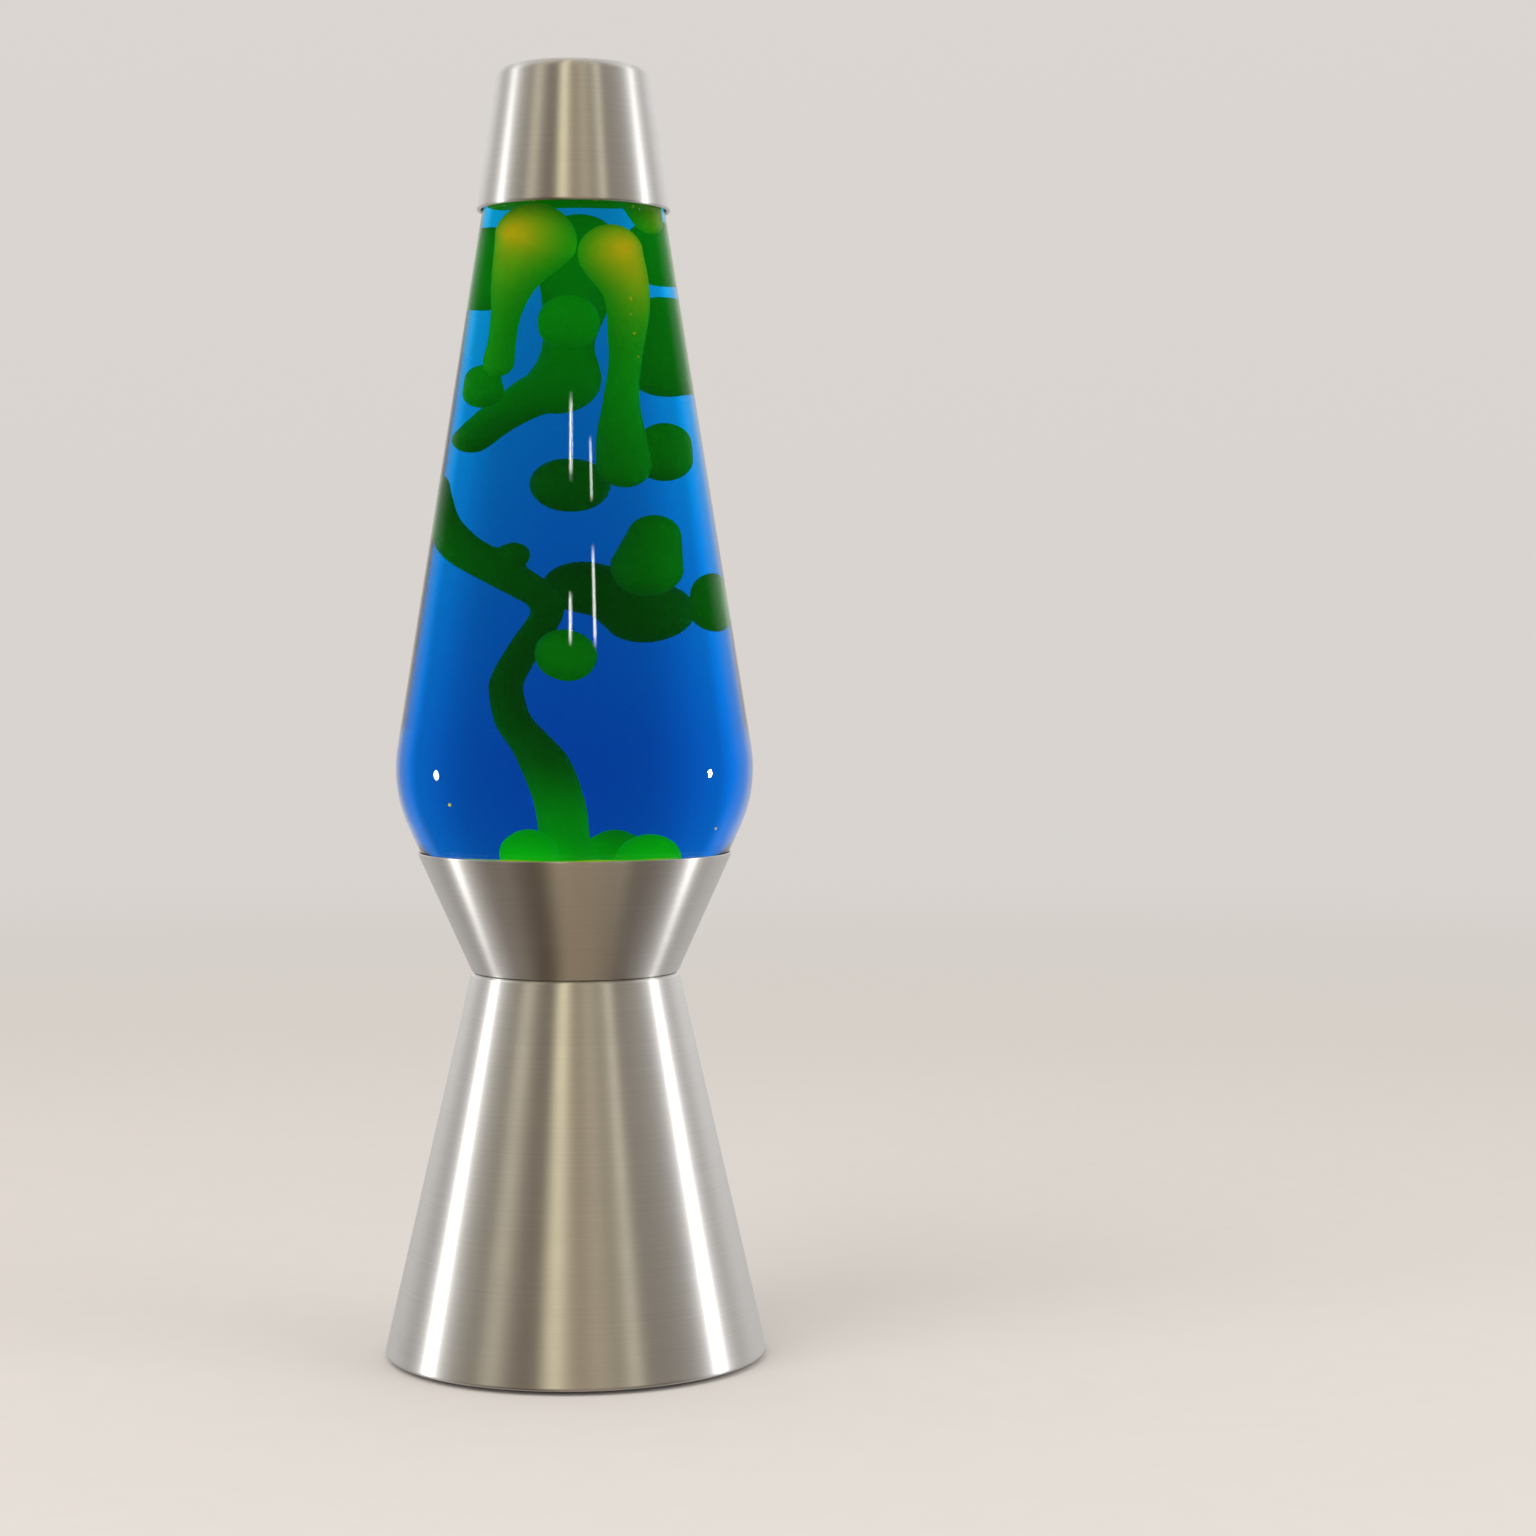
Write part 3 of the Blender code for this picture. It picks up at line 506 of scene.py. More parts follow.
def bulb_material():
    """A reflector bulb's glass: silvered flanks, and a frosted face that glows."""
    tree = material_tree("reflector_bulb")
    place = object_place(tree)
    height = tree.add("SeparateXYZ", {0: place}).outputs[2]
    band = 0.020  # the height below the bulb's top in which the silver ends
    level = tree.math("DIVIDE", tree.math("SUBTRACT", height, top("bulb_glass") - band), band)
    face = tree.ramp(level, [(0.46, 0.0), (0.56, 1.0)])
    frost = tree.noise(place, 900.0, 3.0)
    silver = tree.mix(tree.noise(place, 60.0, 4.0), (0.62, 0.62, 0.63), (0.80, 0.80, 0.80))
    white = tree.mix(frost, (0.80, 0.78, 0.74), (0.92, 0.91, 0.88))
    return finish(tree, {
        "Base Color": tree.mix(face, silver, white),
        "Metallic": tree.math("SUBTRACT", 1.0, face),
        "Roughness": tree.math("MULTIPLY_ADD", face, 0.35, 0.14),
        "Emission Color": (1.0, 0.80, 0.52, 1.0), "Emission Strength": tree.math("MULTIPLY", face, 1.6),
        "Normal": tree.bump(frost, 0.06, 0.0002),
    })


def stem_glass():
    tree = material_tree("stem_glass")
    drift = tree.noise(object_place(tree), 260.0, 2.0)
    return finish(tree, {
        "Base Color": tree.mix(drift, (0.82, 0.88, 0.86), (0.95, 0.98, 0.97)), "Roughness": 0.02,
        "IOR": 1.5, "Transmission Weight": 1.0, "Normal": tree.bump(drift, 0.1, 0.0003),
    })


# Absorption for each metre of liquid, and the wax's painted light: an emission that stands in for the bulb's
# light, from the pool up to the wax's top
LIQUID_DENSITY = 165.0
LIQUID_COLOUR = (0.0, 0.918, 0.9845)
WAX_TOP_Z = 0.62
WAX_PAINTED_LIGHT = [
    (0.0, 0.30), (0.09, 0.42), (0.13, 0.75), (0.17, 0.72), (0.24, 0.20),
    (0.32, 0.13), (0.62, 0.12), (0.76, 0.26), (0.93, 0.34), (1.0, 0.12),
]

aluminium = spun_metal("spun_aluminium", (0.74, 0.725, 0.70), 0.33)
zinc = plated("zinc_steel", (0.60, 0.61, 0.62), 0.34, grain=900.0)
brass = spun_metal("socket_brass", (0.72, 0.53, 0.25), 0.30, anisotropy=0.5, line=0.08, worn=0.1)
plate_paint = plated("black_plate", (0.030, 0.030, 0.032), 0.55, 0.25, 1400.0, metallic=0.0, bump=0.35)
tinplate = spun_metal("closure_tinplate", (0.76, 0.76, 0.77), 0.26, anisotropy=0.6, line=0.05)
liner = plated("closure_liner", (0.80, 0.80, 0.78), 0.6, 0.04, 1200.0, metallic=0.0, bump=0.2)
black_glass = plated("bulb_insulator", (0.02, 0.02, 0.024), 0.18, 0.3, 700.0, metallic=0.0, bump=0.05)
tungsten = plated("tungsten", (0.30, 0.29, 0.28), 0.42, 0.15, 2500.0)
glass, liquid, wax, black_rubber = clear_glass(), blue_liquid(), wax_material(), rubber()


# ---- base ----


def skirt_radius(z):
    return HEM_R - SKIRT_SLOPE * (z - HEM_Z)


def waist_holes(z):
    """Cutters for the holes of the three waist screws, from a level down."""
    points = circle_points(3, WAIST_SCREW_CIRCLE_R, z, first=pi / 2)
    return [rod(WAIST_HOLE_R, p, p - UP * 0.004) for p in points]


def inlet_frame():
    """The cord inlet's frame: on the skirt at the back, with its Z axis square to the sheet."""
    way = UP.rotation_difference(Vector((0, 1, SKIRT_SLOPE)).normalized()).to_matrix().to_4x4()
    return Matrix.Translation((0, skirt_radius(INLET_Z), INLET_Z)) @ way


def make_skirt():
    corners = [
        (HEM_LIP_R, HEM_Z, 0),
        (HEM_R, HEM_Z, 0.0016),
        (skirt_radius(WAIST_Z), WAIST_Z, 0.0024),
        (WAIST_OPENING_R, WAIST_Z, 0),
    ]
    inlet = rod(INLET_HOLE_R, (0, 0, -0.004), (0, 0, 0.004))
    inlet.transform(inlet_frame())
    bm = combine(turned(sheet_loop(corners, SHEET), LARGE), [*waist_holes(WAIST_Z + 0.001), inlet])
    piece("skirt_shell", bm, aluminium, "base", "base_skirt")


def make_cup():
    corners = [(WAIST_OPENING_R, CUP_Z, 0), (CUP_FOOT_R, CUP_Z, 0.0016), (CUP_RIM_R, CUP_RIM_Z - 0.0004, 0)]
    bm = combine(turned(sheet_loop(corners, CUP_SHEET), LARGE), waist_holes(CUP_Z + 0.002))
    piece("cup_shell", bm, aluminium, "base", "globe_cup")


def make_plate():
    """A pressed steel plate with a raised ring, vents and the holes that the feet push into."""
    low, thick = foot("bottom_plate"), top("bottom_plate") - foot("bottom_plate")
    raised, bend = low + 0.0016, 0.001
    corners = [
        (0, raised, 0), (0.026, raised, bend), (0.030, low, bend), (0.064, low, bend), (0.067, raised, bend),
        (0.073, raised, bend), (0.076, low, bend), (reach("bottom_plate") - 0.0006, low, 0),
    ]
    foot_hole_r, vent_r, vent_circle_r = 0.0028, 0.006, 0.0500
    places = [(p, foot_hole_r) for p in circle_points(4, FOOT_CIRCLE_R, low, pi / 4)]
    places += [(p, vent_r) for p in circle_points(6, vent_circle_r, low)]
    cuts = [rod(radius, p - UP * 0.004, p + UP * 0.006, 32) for p, radius in places]
    bm = combine(turned(sheet_loop(corners, thick), BROAD), cuts)
    piece("floor_plate", bm, plate_paint, "base", "bottom_plate")


def make_feet():
    """Push-in feet: a pad under the plate, and a barb that holds above it."""
    low = foot("bottom_plate") - GAP
    barb = top("bottom_plate") + GAP
    corners = [
        (0, 0.0005, 0), (0.0042, 0.0005, 0.0003), (0.0048, 0, 0.0003), (0.0065, 0, 0.0007),
        (0.0059, low, 0.0004), (0.0024, low, 0.0002), (0.0024, barb, 0), (0.0033, barb + 0.0003, 0.0002),
        (0.0018, barb + 0.0028, 0.0003), (0, barb + 0.0028, 0),
    ]
    for i, point in enumerate(circle_points(4, FOOT_CIRCLE_R, 0.0, pi / 4), 1):
        bm = turned(rounded(corners), SMALL)
        bm.transform(Matrix.Translation(point))
        piece(f"rubber_foot_{i}", bm, black_rubber, "base", f"foot_{i}")


def make_grommet():
    """A bush whose two flanges hold the skirt's sheet between them."""
    bore, neck, flange, soft = 0.0028, 0.0045, 0.0062, 0.0002
    front, back = 0.0006, -SHEET - 0.0006
    corners = [
        (bore, 0, 0), (bore, front + 0.0014, 0.0008), (flange, front + 0.001, 0.0006), (flange, front, soft),
        (neck, front, soft), (neck, back, soft), (flange, back, soft), (flange, back - 0.001, 0.0006),
        (bore, back - 0.0014, 0.0006), (bore, -0.0008, 0),
    ]
    bm = turned(rounded(corners), SMALL)
    bm.transform(inlet_frame())
    piece("inlet_bush", bm, black_rubber, "base", "cord_grommet")


def screw(place, shank_r, length, head_r, head_height, slotted=False):
    """A pan-head screw with a cross or a slot in its head, and a thread on its shank."""
    pitch, wave, margin = shank_r * 0.42, shank_r * 0.07, 0.0002
    rows = int(length / pitch * 6)
    head = rounded([
        (shank_r, 0.0, 0), (head_r, 0.0, 0.0001), (head_r, head_height * 0.55, head_r * 0.25),
        (head_r * 0.62, head_height, head_r * 0.3), (0, head_height, 0),
    ])
    levels = [-length + margin + (length - 2 * margin) * i / rows for i in range(rows + 1)]
    loop = [(0, -length), (shank_r * 0.7, -length), *((shank_r - wave, z, True) for z in levels), *head]
    bm = turned(loop, SMALL, lambda r, z, a: r + wave * cos(tau * z / pitch - a))
    depth, width = head_height * 0.55, head_r * 0.22
    half = head_r * (1.3 if slotted else 0.62)
    bar = [(-half, -width / 2), (half, -width / 2), (half, width / 2), (-half, width / 2)]
    sunk = Matrix.Translation((0, 0, head_height - depth))
    tools = [slab(bar, head_height, sunk)]
    if not slotted:
        tools.append(slab(bar, head_height, sunk @ Matrix.Rotation(pi / 2, 4, "Z")))
    bm = combine(bm, tools)
    bm.transform(place)
    return bm


def nut_shape(r, z, angle):
    """A hexagon's radius at an angle, no more than its chamfer allows."""
    turn = (angle + pi / 6) % (pi / 3) - pi / 6
    return min(NUT_CORNER_R * cos(pi / 6) / cos(turn), r)


def make_waist_fasteners():
    bore, face_r, wide, chamfer = 0.00225, 0.0032, 0.0037, 0.0004
    for i in (1, 2, 3):
        low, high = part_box(f"waist_screw_{i}")
        middle = (low + high) / 2
        seat = Matrix.Translation((middle.x, middle.y, CUP_Z + CUP_SHEET + GAP))
        place = seat @ Matrix.Rotation(0.7 * i, 4, "Z")
        bm = screw(place, shank_r=0.0019, length=0.0095, head_r=0.0034, head_height=0.002)
        piece(f"waist_fixing_{i}", bm, zinc, "base", f"waist_screw_{i}")
        low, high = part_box(f"waist_nut_{i}")
        tall = high.z - low.z
        loop = [(bore, 0), (face_r, 0, 1), (wide, chamfer, 1), (wide, tall - chamfer, 1), (face_r, tall, 1)]
        bm = turned([*loop, (bore, tall)], SMALL, nut_shape)
        bm.transform(Matrix.Translation((middle.x, middle.y, low.z)))
        piece(f"hex_nut_{i}", bm, zinc, "base", f"waist_nut_{i}")


# ---- socket ----

BRACKET_LOW, BRACKET_TOP = foot("socket_bracket"), top("socket_bracket")
SOCKET_Z, SOCKET_TOP_Z = foot("socket_body"), top("socket_body")
BULB_Z = foot("bulb_contact")


def make_bracket():
    """A ring under the waist and a bent strap, with the screw holes through both."""
    bottom, rim, width = BRACKET_TOP - SHEET, 0.0500, 0.018
    ring = [
        (WAIST_OPENING_R, bottom, 0), (rim, bottom, 0.0003), (rim, BRACKET_TOP, 0.0003),
        (WAIST_OPENING_R, BRACKET_TOP, 0),
    ]
    bend, leg = 0.003, 0.0412
    outline = strap_points(leg, bend, 0) + strap_points(leg, bend, SHEET)[::-1]
    stand = Matrix.Translation((0, width / 2, 0)) @ Matrix.Rotation(pi / 2, 4, "X")
    bm = combine(turned(rounded(ring), MEDIUM), [slab(outline, width, stand)], "UNION")
    cuts = waist_holes(BRACKET_TOP + 0.001)
    for x in (-SOCKET_SCREW_X, SOCKET_SCREW_X):
        cuts.append(rod(0.0019, (x, 0, BRACKET_LOW - 0.001), (x, 0, BRACKET_LOW + 0.003)))
    piece("socket_hanger", combine(bm, cuts), zinc, "base", "socket_bracket")


def strap_points(leg, bend, inset):
    """One face of the strap, from the top of one leg round to the top of the other."""
    x, low, high = leg - inset, BRACKET_LOW + inset, BRACKET_TOP - SHEET / 2
    points = [Vector(p) for p in ((-x, high), (-x, low), (x, low), (x, high))]
    fillet = bend - inset
    face = [points[0], *turned_corner(*points[:3], fillet), *turned_corner(*points[1:], fillet), points[3]]
    return [tuple(p) for p in face]


def make_socket():
    """The porcelain body with its screw holes, its screws, and the spring on its floor."""
    terminal_z = (SOCKET_Z + SOCKET_FLOOR_Z) / 2
    radius, step = reach("socket_body"), 0.0006
    well_r, well_z = 0.006, SOCKET_FLOOR_Z - 0.0018
    loop = rounded([
        (0, SOCKET_Z, 0), (radius, SOCKET_Z, 0.0015), (radius, SOCKET_Z + 0.010, 0.0004),
        (radius - step, SOCKET_Z + 0.0106, 0.0004), (radius - step, SOCKET_Z + 0.022, 0.001),
        (radius - 0.0018, SOCKET_TOP_Z, 0.001), (SOCKET_BORE_R, SOCKET_TOP_Z, 0.0004),
        (SOCKET_BORE_R, SOCKET_FLOOR_Z, 0.0003), (well_r, SOCKET_FLOOR_Z, 0.0003), (well_r, well_z, 0),
        (0, well_z, 0),
    ])
    cuts = []
    for side in (-1, 1):
        x = side * SOCKET_SCREW_X
        cuts.append(rod(0.0018, (x, 0, SOCKET_Z - 0.001), (x, 0, SOCKET_Z + 0.0065), 24))
    for side in (-1, 1):
        cuts.append(rod(0.0017, (0, side * 0.0125, terminal_z), (0, side * 0.021, terminal_z), 24))
    bm = combine(turned(loop, MEDIUM), cuts)
    piece("porcelain_socket", bm, porcelain(), "base", "socket_body")
    for i, side in enumerate((-1, 1), 1):
        seat = Matrix.Translation((side * SOCKET_SCREW_X, 0, BRACKET_LOW - GAP))
        place = seat @ Matrix.Rotation(pi, 4, "X")
        bm = screw(place, shank_r=0.0015, length=0.0075, head_r=0.0032, head_height=0.002)
        piece(f"socket_fixing_{i}", bm, zinc, "base", f"socket_screw_{i}")
        seat = Matrix.Translation((0, side * (radius + GAP), terminal_z))
        place = seat @ Matrix.Rotation(-side * pi / 2, 4, "X")
        bm = screw(place, shank_r=0.0014, length=0.0062, head_r=0.0027, head_height=0.0016, slotted=True)
        piece(f"terminal_fixing_{i}", bm, brass, "base", f"terminal_screw_{i}")
    low, high, wide = foot("socket_centre_contact"), BULB_Z - GAP, 0.0052
    contact = rounded([
        (0, low, 0), (wide, low, 0.0002), (wide, low + 0.001, 0.0003), (0.003, high, 0.0006), (0, high, 0),
    ])
    piece("centre_spring", turned(contact, SMALL), brass, "base", "socket_centre_contact")


def thread_wave(r, z, angle):
    """A right-hand thread's radius at an angle and a level."""
    return r + THREAD_WAVE * cos(tau * z / THREAD_PITCH - angle)


def thread_rows(radius, start, turns):
    rows = 10  # in each turn
    return [(radius, start + THREAD_PITCH * i / rows, True) for i in range(turns * rows + 1)]


def make_socket_shell():
    outer, mean, start = SOCKET_BORE_R - GAP, 0.0131, 0.1045
    relief, low = mean + 0.0005, SOCKET_FLOOR_Z + GAP
    thread = thread_rows(mean, start, 3)
    high = thread[-1][1] + 0.001
    loop = [(outer, low), (outer, high - 0.0002), (outer - 0.0002, high), (relief, high), *thread[::-1]]
    loop += [(relief, start - 0.0005), (relief, low)]
    piece("thread_shell", turned(loop, MEDIUM, thread_wave), brass, "base", "socket_screw_shell")


# ---- bulb ----


def make_bulb():
    """A reflector bulb: its glass, screw cap, insulator, tip and stem."""
    width, neck, collar = reach("bulb_glass"), 0.0112, 0.1265
    corners = [
        (neck, 0.118, 0), (neck, collar + 0.001, 0.003), (width, 0.166, 0.018),
        (width, 0.191, 0.0075), (0, top("bulb_glass"), 0),
    ]
    loop = sheet_loop(corners, 0.0008)
    piece("reflector_bulb", turned(loop, LARGE // 2), bulb_material(), "bulb", "bulb_glass")
    bore = 0.0116
    thread = thread_rows(0.01265, BULB_Z + 0.0058, 4)
    loop = [(bore, thread[0][1]), *thread, (0.0129, thread[-1][1] + 0.0005), (0.0129, collar - 0.0003)]
    loop += [(0.0127, collar), (bore, collar)]
    piece("bulb_cap", turned(loop, MEDIUM, thread_wave), brass, "bulb", "bulb_screw_shell")
    low, high = BULB_Z + 0.0018, BULB_Z + 0.0055
    cone = turned(rounded([(0, low, 0), (0.006, low, 0.0006), (0.0105, high, 0.0008), (0, high, 0)]), SMALL)
    piece("black_glass_cone", cone, black_glass, "bulb", "bulb_insulator")
    high, wide = BULB_Z + 0.0015, 0.0048
    tip = [(0, BULB_Z, 0), (0.003, BULB_Z, 0.001), (wide, BULB_Z + 0.0008, 0.0003), (wide, high, 0.0002)]
    tip.append((0, high, 0))
    piece("solder_tip", turned(rounded(tip), SMALL), zinc, "bulb_foot", "bulb_contact")
    low, high, waist = 0.112, 0.146, 0.0038
    stem = [
        (0, low, 0), (0.0065, low, 0.001), (waist, 0.118, 0.002), (waist, 0.144, 0.0015),
        (0.0026, high, 0.001), (0, high, 0),
    ]
    piece("glass_stem", turned(rounded(stem), SMALL), stem_glass(), "bulb", "bulb_stem")
    make_filament()


def make_filament():
    """Two support wires, and a coiled filament between them."""
    support = ((0.0022, 0.1466), (0.0055, 0.1533), (0.009, 0.1600), (0.0100, 0.163))
    left = [Vector((-x, 0, z)) for x, z in support]
    right = [Vector((-p.x, 0, p.z)) for p in left[::-1]]
    half_span, level, arch, coil_r = 0.0100, 0.1632, 0.0022, 0.00032
    turns, fine = 22, 10
    coil = []
    for i in range(turns * fine + 1):
        t = i / (turns * fine)
        angle = tau * turns * t
        x = -half_span + 2 * half_span * t
        rise = arch * sin(pi * t)
        coil.append(Vector((x, coil_r * cos(angle), level + rise + coil_r * sin(angle))))
    wires = ((left, 0.00035), (right, 0.00035), (coil, 0.00012))
    bm = merged([sweep(path, [radius] * len(path), 8) for path, radius in wires])
    piece("coiled_filament", bm, tungsten, "bulb", "filament")


# ---- globe ----


def cone_radius(z, inset=0.0):
    seat = CUP_RIM_R + GLOBE_FLARE * (z - CUP_RIM_Z)
    return seat - (CUP_SHEET + GAP + inset) * hypot(1, GLOBE_FLARE)


def globe_corners():
    """The globe's outer outline, from the middle of its floor to the top of its neck."""
    belly_z = (SHOULDER[0] + GLOBE_TAPER * SHOULDER[1] - cone_radius(0)) / (GLOBE_FLARE + GLOBE_TAPER)
    return [
        (0, GLOBE_Z, 0), (cone_radius(GLOBE_Z), GLOBE_Z, 0.006),
        (cone_radius(belly_z), belly_z, BELLY_FILLET), (*SHOULDER, 0.008),
        (NECK_R, NECK_FOOT_Z, 0.002), (NECK_R, NECK_TOP_Z - 0.002, 0),
    ]


def make_globe():
    bm = turned(sheet_loop(globe_corners(), GLASS_WALL), LARGE)
    piece("globe_shell", bm, glass, "globe", "globe_glass")
    seep = 0.0002  # the liquid reaches into the wall, so that no air shows between them
    inner = offset(globe_corners(), GLASS_WALL - seep)
    level = top("masking_liquid")
    corners = [*inner[:-1], (inner[-1][0], level, 0), (0, level, 0)]
    bm = turned(rounded(corners), LARGE)
    piece("liquid_body", bm, liquid, "globe", "masking_liquid", 60)


def flute(r, z, angle):
    """The crimped skirt of a crown closure."""
    return r - 0.00035 * (0.5 + 0.5 * cos(FLUTES * angle))


def make_closure():
    low, high, radius, sheet = foot("globe_closure"), top("globe_closure"), reach("globe_closure"), 0.0008
    bore, plain, panel = radius - sheet, low + 0.008, high - 0.0003
    outer = rounded([
        (radius, plain, 0), (radius, high, 0.002), (0.015, high, 0.0005), (0.0144, panel, 0.0003),
        (0, panel, 0),
    ])
    inner = rounded([(0, panel - sheet, 0), (bore, panel - sheet, 0.0012), (bore, plain, 0)])
    levels = [low + 0.0075 * i / 6 for i in range(7)]
    loop = [*((radius, z, True) for z in levels), *outer, *inner, *((bore, z, True) for z in levels[::-1])]
    bm = turned(loop, FLUTES * 12, flute)
    piece("crimped_closure", bm, tinplate, "globe", "globe_closure", 40)
    low, high, radius = foot("closure_liner"), top("closure_liner"), reach("closure_liner")
    pad = rounded([(0, low, 0), (radius, low, 0.0006), (radius, high - GAP, 0.0006), (0, high - GAP, 0)])
    piece("liner_pad", turned(pad, MEDIUM), liner, "globe", "closure_liner")


def make_coil():
    """A close wire spiral bent into a ring on the globe's floor."""
    low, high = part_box("heating_coil")
    thick, level = (high.z - low.z) / 2, (low.z + high.z) / 2
    mean = high.x - thick
    wire, turns, fine, whole = 0.00035, 90, 12, 0.985  # the ring's two ends stay a little apart
    path = []
    for i in range(turns * fine + 1):
        round_axis, round_wire = tau * i / (turns * fine) * whole, tau * i / fine
        r, z = mean + (thick - wire) * cos(round_wire), level + (thick - wire) * sin(round_wire)
        path.append(Vector((r * cos(round_axis), r * sin(round_axis), z)))
    bm = sweep(path, [wire] * len(path), 6)
    piece("heater_spiral", bm, zinc, "globe", "heating_coil", 60)


# ---- wax ----

# (x, y, z, radius) along each piece's middle, in millimetres
COLUMN = [
    (0, 0, 262, 15), (-4, 0, 285, 10.5), (-6, 5, 299, 10), (-10, 9, 311, 9.4), (-17, 14, 323, 8.2),
    (-24, 17, 335, 7.3), (-26.5, 18, 347, 6.8), (-26.5, 18, 357, 6.3), (-20, 18, 374, 6.3),
    (-12, 17, 391, 6.2), (-13, 14, 401, 7), (-20, 11, 408, 7.8), (-31, 9, 417, 8.4), (-43, 11, 427, 8.4),
    (-50.5, 13, 440, 7.6), (-53, 15, 453, 6.8), (-53.5, 16, 462, 6.2),
]
# (x, y, z, radius) of the mounds on the pool and the knob on the column, in millimetres
MOUNDS = [(-18.5, -23, 278, 13), (14, 20, 279, 14), (32, -14, 274, 15), (-24, 8, 424, 6.6)]
WAX = {
    "wax_crown": [
        (-28, 4, 616, 9), (-12, 9, 618, 10.5), (8, 9, 618, 10.5), (24, 3, 616, 9.5), (33, -5, 603, 8.5),
    ],
    "wax_drop_left": [
        (-17.4, -20.7, 589, 20), (-25, -18, 570, 12), (-28.5, -15, 553, 7.5), (-30, -14, 538, 6.6),
        (-32, -14, 526, 7.4),
    ],
    "wax_drop_right": [
        (19, -26, 582, 16), (26, -24, 562, 11.5), (24, -18, 535, 8), (21.5, -16, 510, 7.5),
        (21, -16, 489, 10.5), (22, -16, 472.5, 12.3),
    ],
    "wax_drop_middle": [
        (1, 18, 593, 12), (0, 17, 577, 14), (-1, 17, 557, 12), (-3, 13, 536, 9.5), (-5, 11, 515, 14),
        (-17, 13, 507, 10), (-28, 17, 497, 8), (-38, 18, 485, 7),
    ],
    "wax_drop_far_left": [(-29, 22, 588, 10.5), (-31, 22, 566, 12)],
    "wax_drop_far_right": [(27, 22, 592, 10.5), (29, 23, 578, 11)],
    "wax_drop_back": [(28, 26, 550, 12), (29, 28, 532, 13.5), (29, 30, 521, 12.5)],
    "wax_blob_high_middle": [(-2, -10, 548, 13), (-2, -10, 545, 13)],
    "wax_blob_high_right": [(34.5, 9, 483.4, 11), (34.5, 8, 475.4, 12)],
    "wax_blob_high_left": [(-36.5, 3, 517, 8), (-36.5, 2, 511, 9)],
    "wax_blob_middle": [(-3.8, 16, 461, 14), (-1.8, 16, 461, 14)],
    "wax_blob_low_back": [(0, 38, 406, 13.5), (11, 36, 402, 13.5), (23, 33, 393, 16.5)],
    "wax_blob_low_right": [(34, -9, 434, 12), (31, -9, 419, 16)],
    "wax_blob_low_front": [(-2.5, -42, 374, 13), (-0.5, -42, 373, 13)],
    "wax_blob_side": [(57, 8, 404.5, 11), (57, 8, 396.5, 12.3)],
}


def spline(knots, step=1.2):
    """Points about a step apart on a smooth curve through the knots, radius included."""
    knots = [Vector(knot) for knot in knots]
    ends = [knots[0] * 2 - knots[1], *knots, knots[-1] * 2 - knots[-2]]
    points = []
    for a, b, c, d in zip(ends, ends[1:], ends[2:], ends[3:]):
        count = max(2, round((c - b).length / step))
        for i in range(count):
            t = i / count
            square, cube = 2 * a - 5 * b + 4 * c - d, 3 * (b - c) + d - a
            points.append(0.5 * (2 * b + (c - a) * t + square * t**2 + cube * t**3))
    return [*points, knots[-1]]


def wax_tube(knots):
    """A tube along the knots with round ends."""
    segments = 28
    run = spline(knots)
    centres = [Vector(p[:3]) / 1000 for p in run]
    radii = [max(p[3], 1.0) / 1000 for p in run]
    head, tail = (centres[0] - centres[1]).normalized(), (centres[-1] - centres[-2]).normalized()
    angles = [radians(a) for a in (15, 30, 45, 60, 72, 82, 88)]
    first = [(centres[0] + head * radii[0] * sin(a), radii[0] * cos(a)) for a in angles][::-1]
    last = [(centres[-1] + tail * radii[-1] * sin(a), radii[-1] * cos(a)) for a in angles]
    rings = [*first, *zip(centres, radii), *last]
    return sweep([ring[0] for ring in rings], [ring[1] for ring in rings], segments)


def ball(x, y, z, r):
    bm = bmesh.new()
    bmesh.ops.create_icosphere(bm, subdivisions=4, radius=r / 1000)
    bmesh.ops.translate(bm, verts=bm.verts, vec=Vector((x, y, z)) / 1000)
    return bm


def glass_face(z):
    """The radius of the globe's inner face at a level."""
    for (r0, z0), (r1, z1) in zip(GLASS_FACE, GLASS_FACE[1:]):
        if z0 <= z <= z1 and z1 > z0:
            return r0 + (r1 - r0) * (z - z0) / (z1 - z0)
    return GLASS_FACE[-1][0]


def soft_skin(bms, voxel, smoothing):
    """One smooth skin over meshes that overlap, with slow swells, kept off the glass by a film of liquid."""
    obj = loose_object(merged(bms), "skin")
    link(obj)
    remesh = obj.modifiers.new("remesh", "REMESH")
    remesh.mode, remesh.voxel_size = "VOXEL", voxel
    smooth = obj.modifiers.new("smooth", "SMOOTH")
    smooth.factor, smooth.iterations = 0.5, smoothing
    bm = applied(obj)
    bpy.data.objects.remove(obj)
    bm.normal_update()
    regrow, swell, waves, film = voxel * 0.12, 0.0006, 45, 0.0004
    for vert in bm.verts:
        vert.co += vert.normal * (swell * noise.noise(vert.co * waves) + regrow)
        room = glass_face(vert.co.z) - film
        across = hypot(vert.co.x, vert.co.y)
        if across > room:
            vert.co.x, vert.co.y = vert.co.x * room / across, vert.co.y * room / across
    return bm


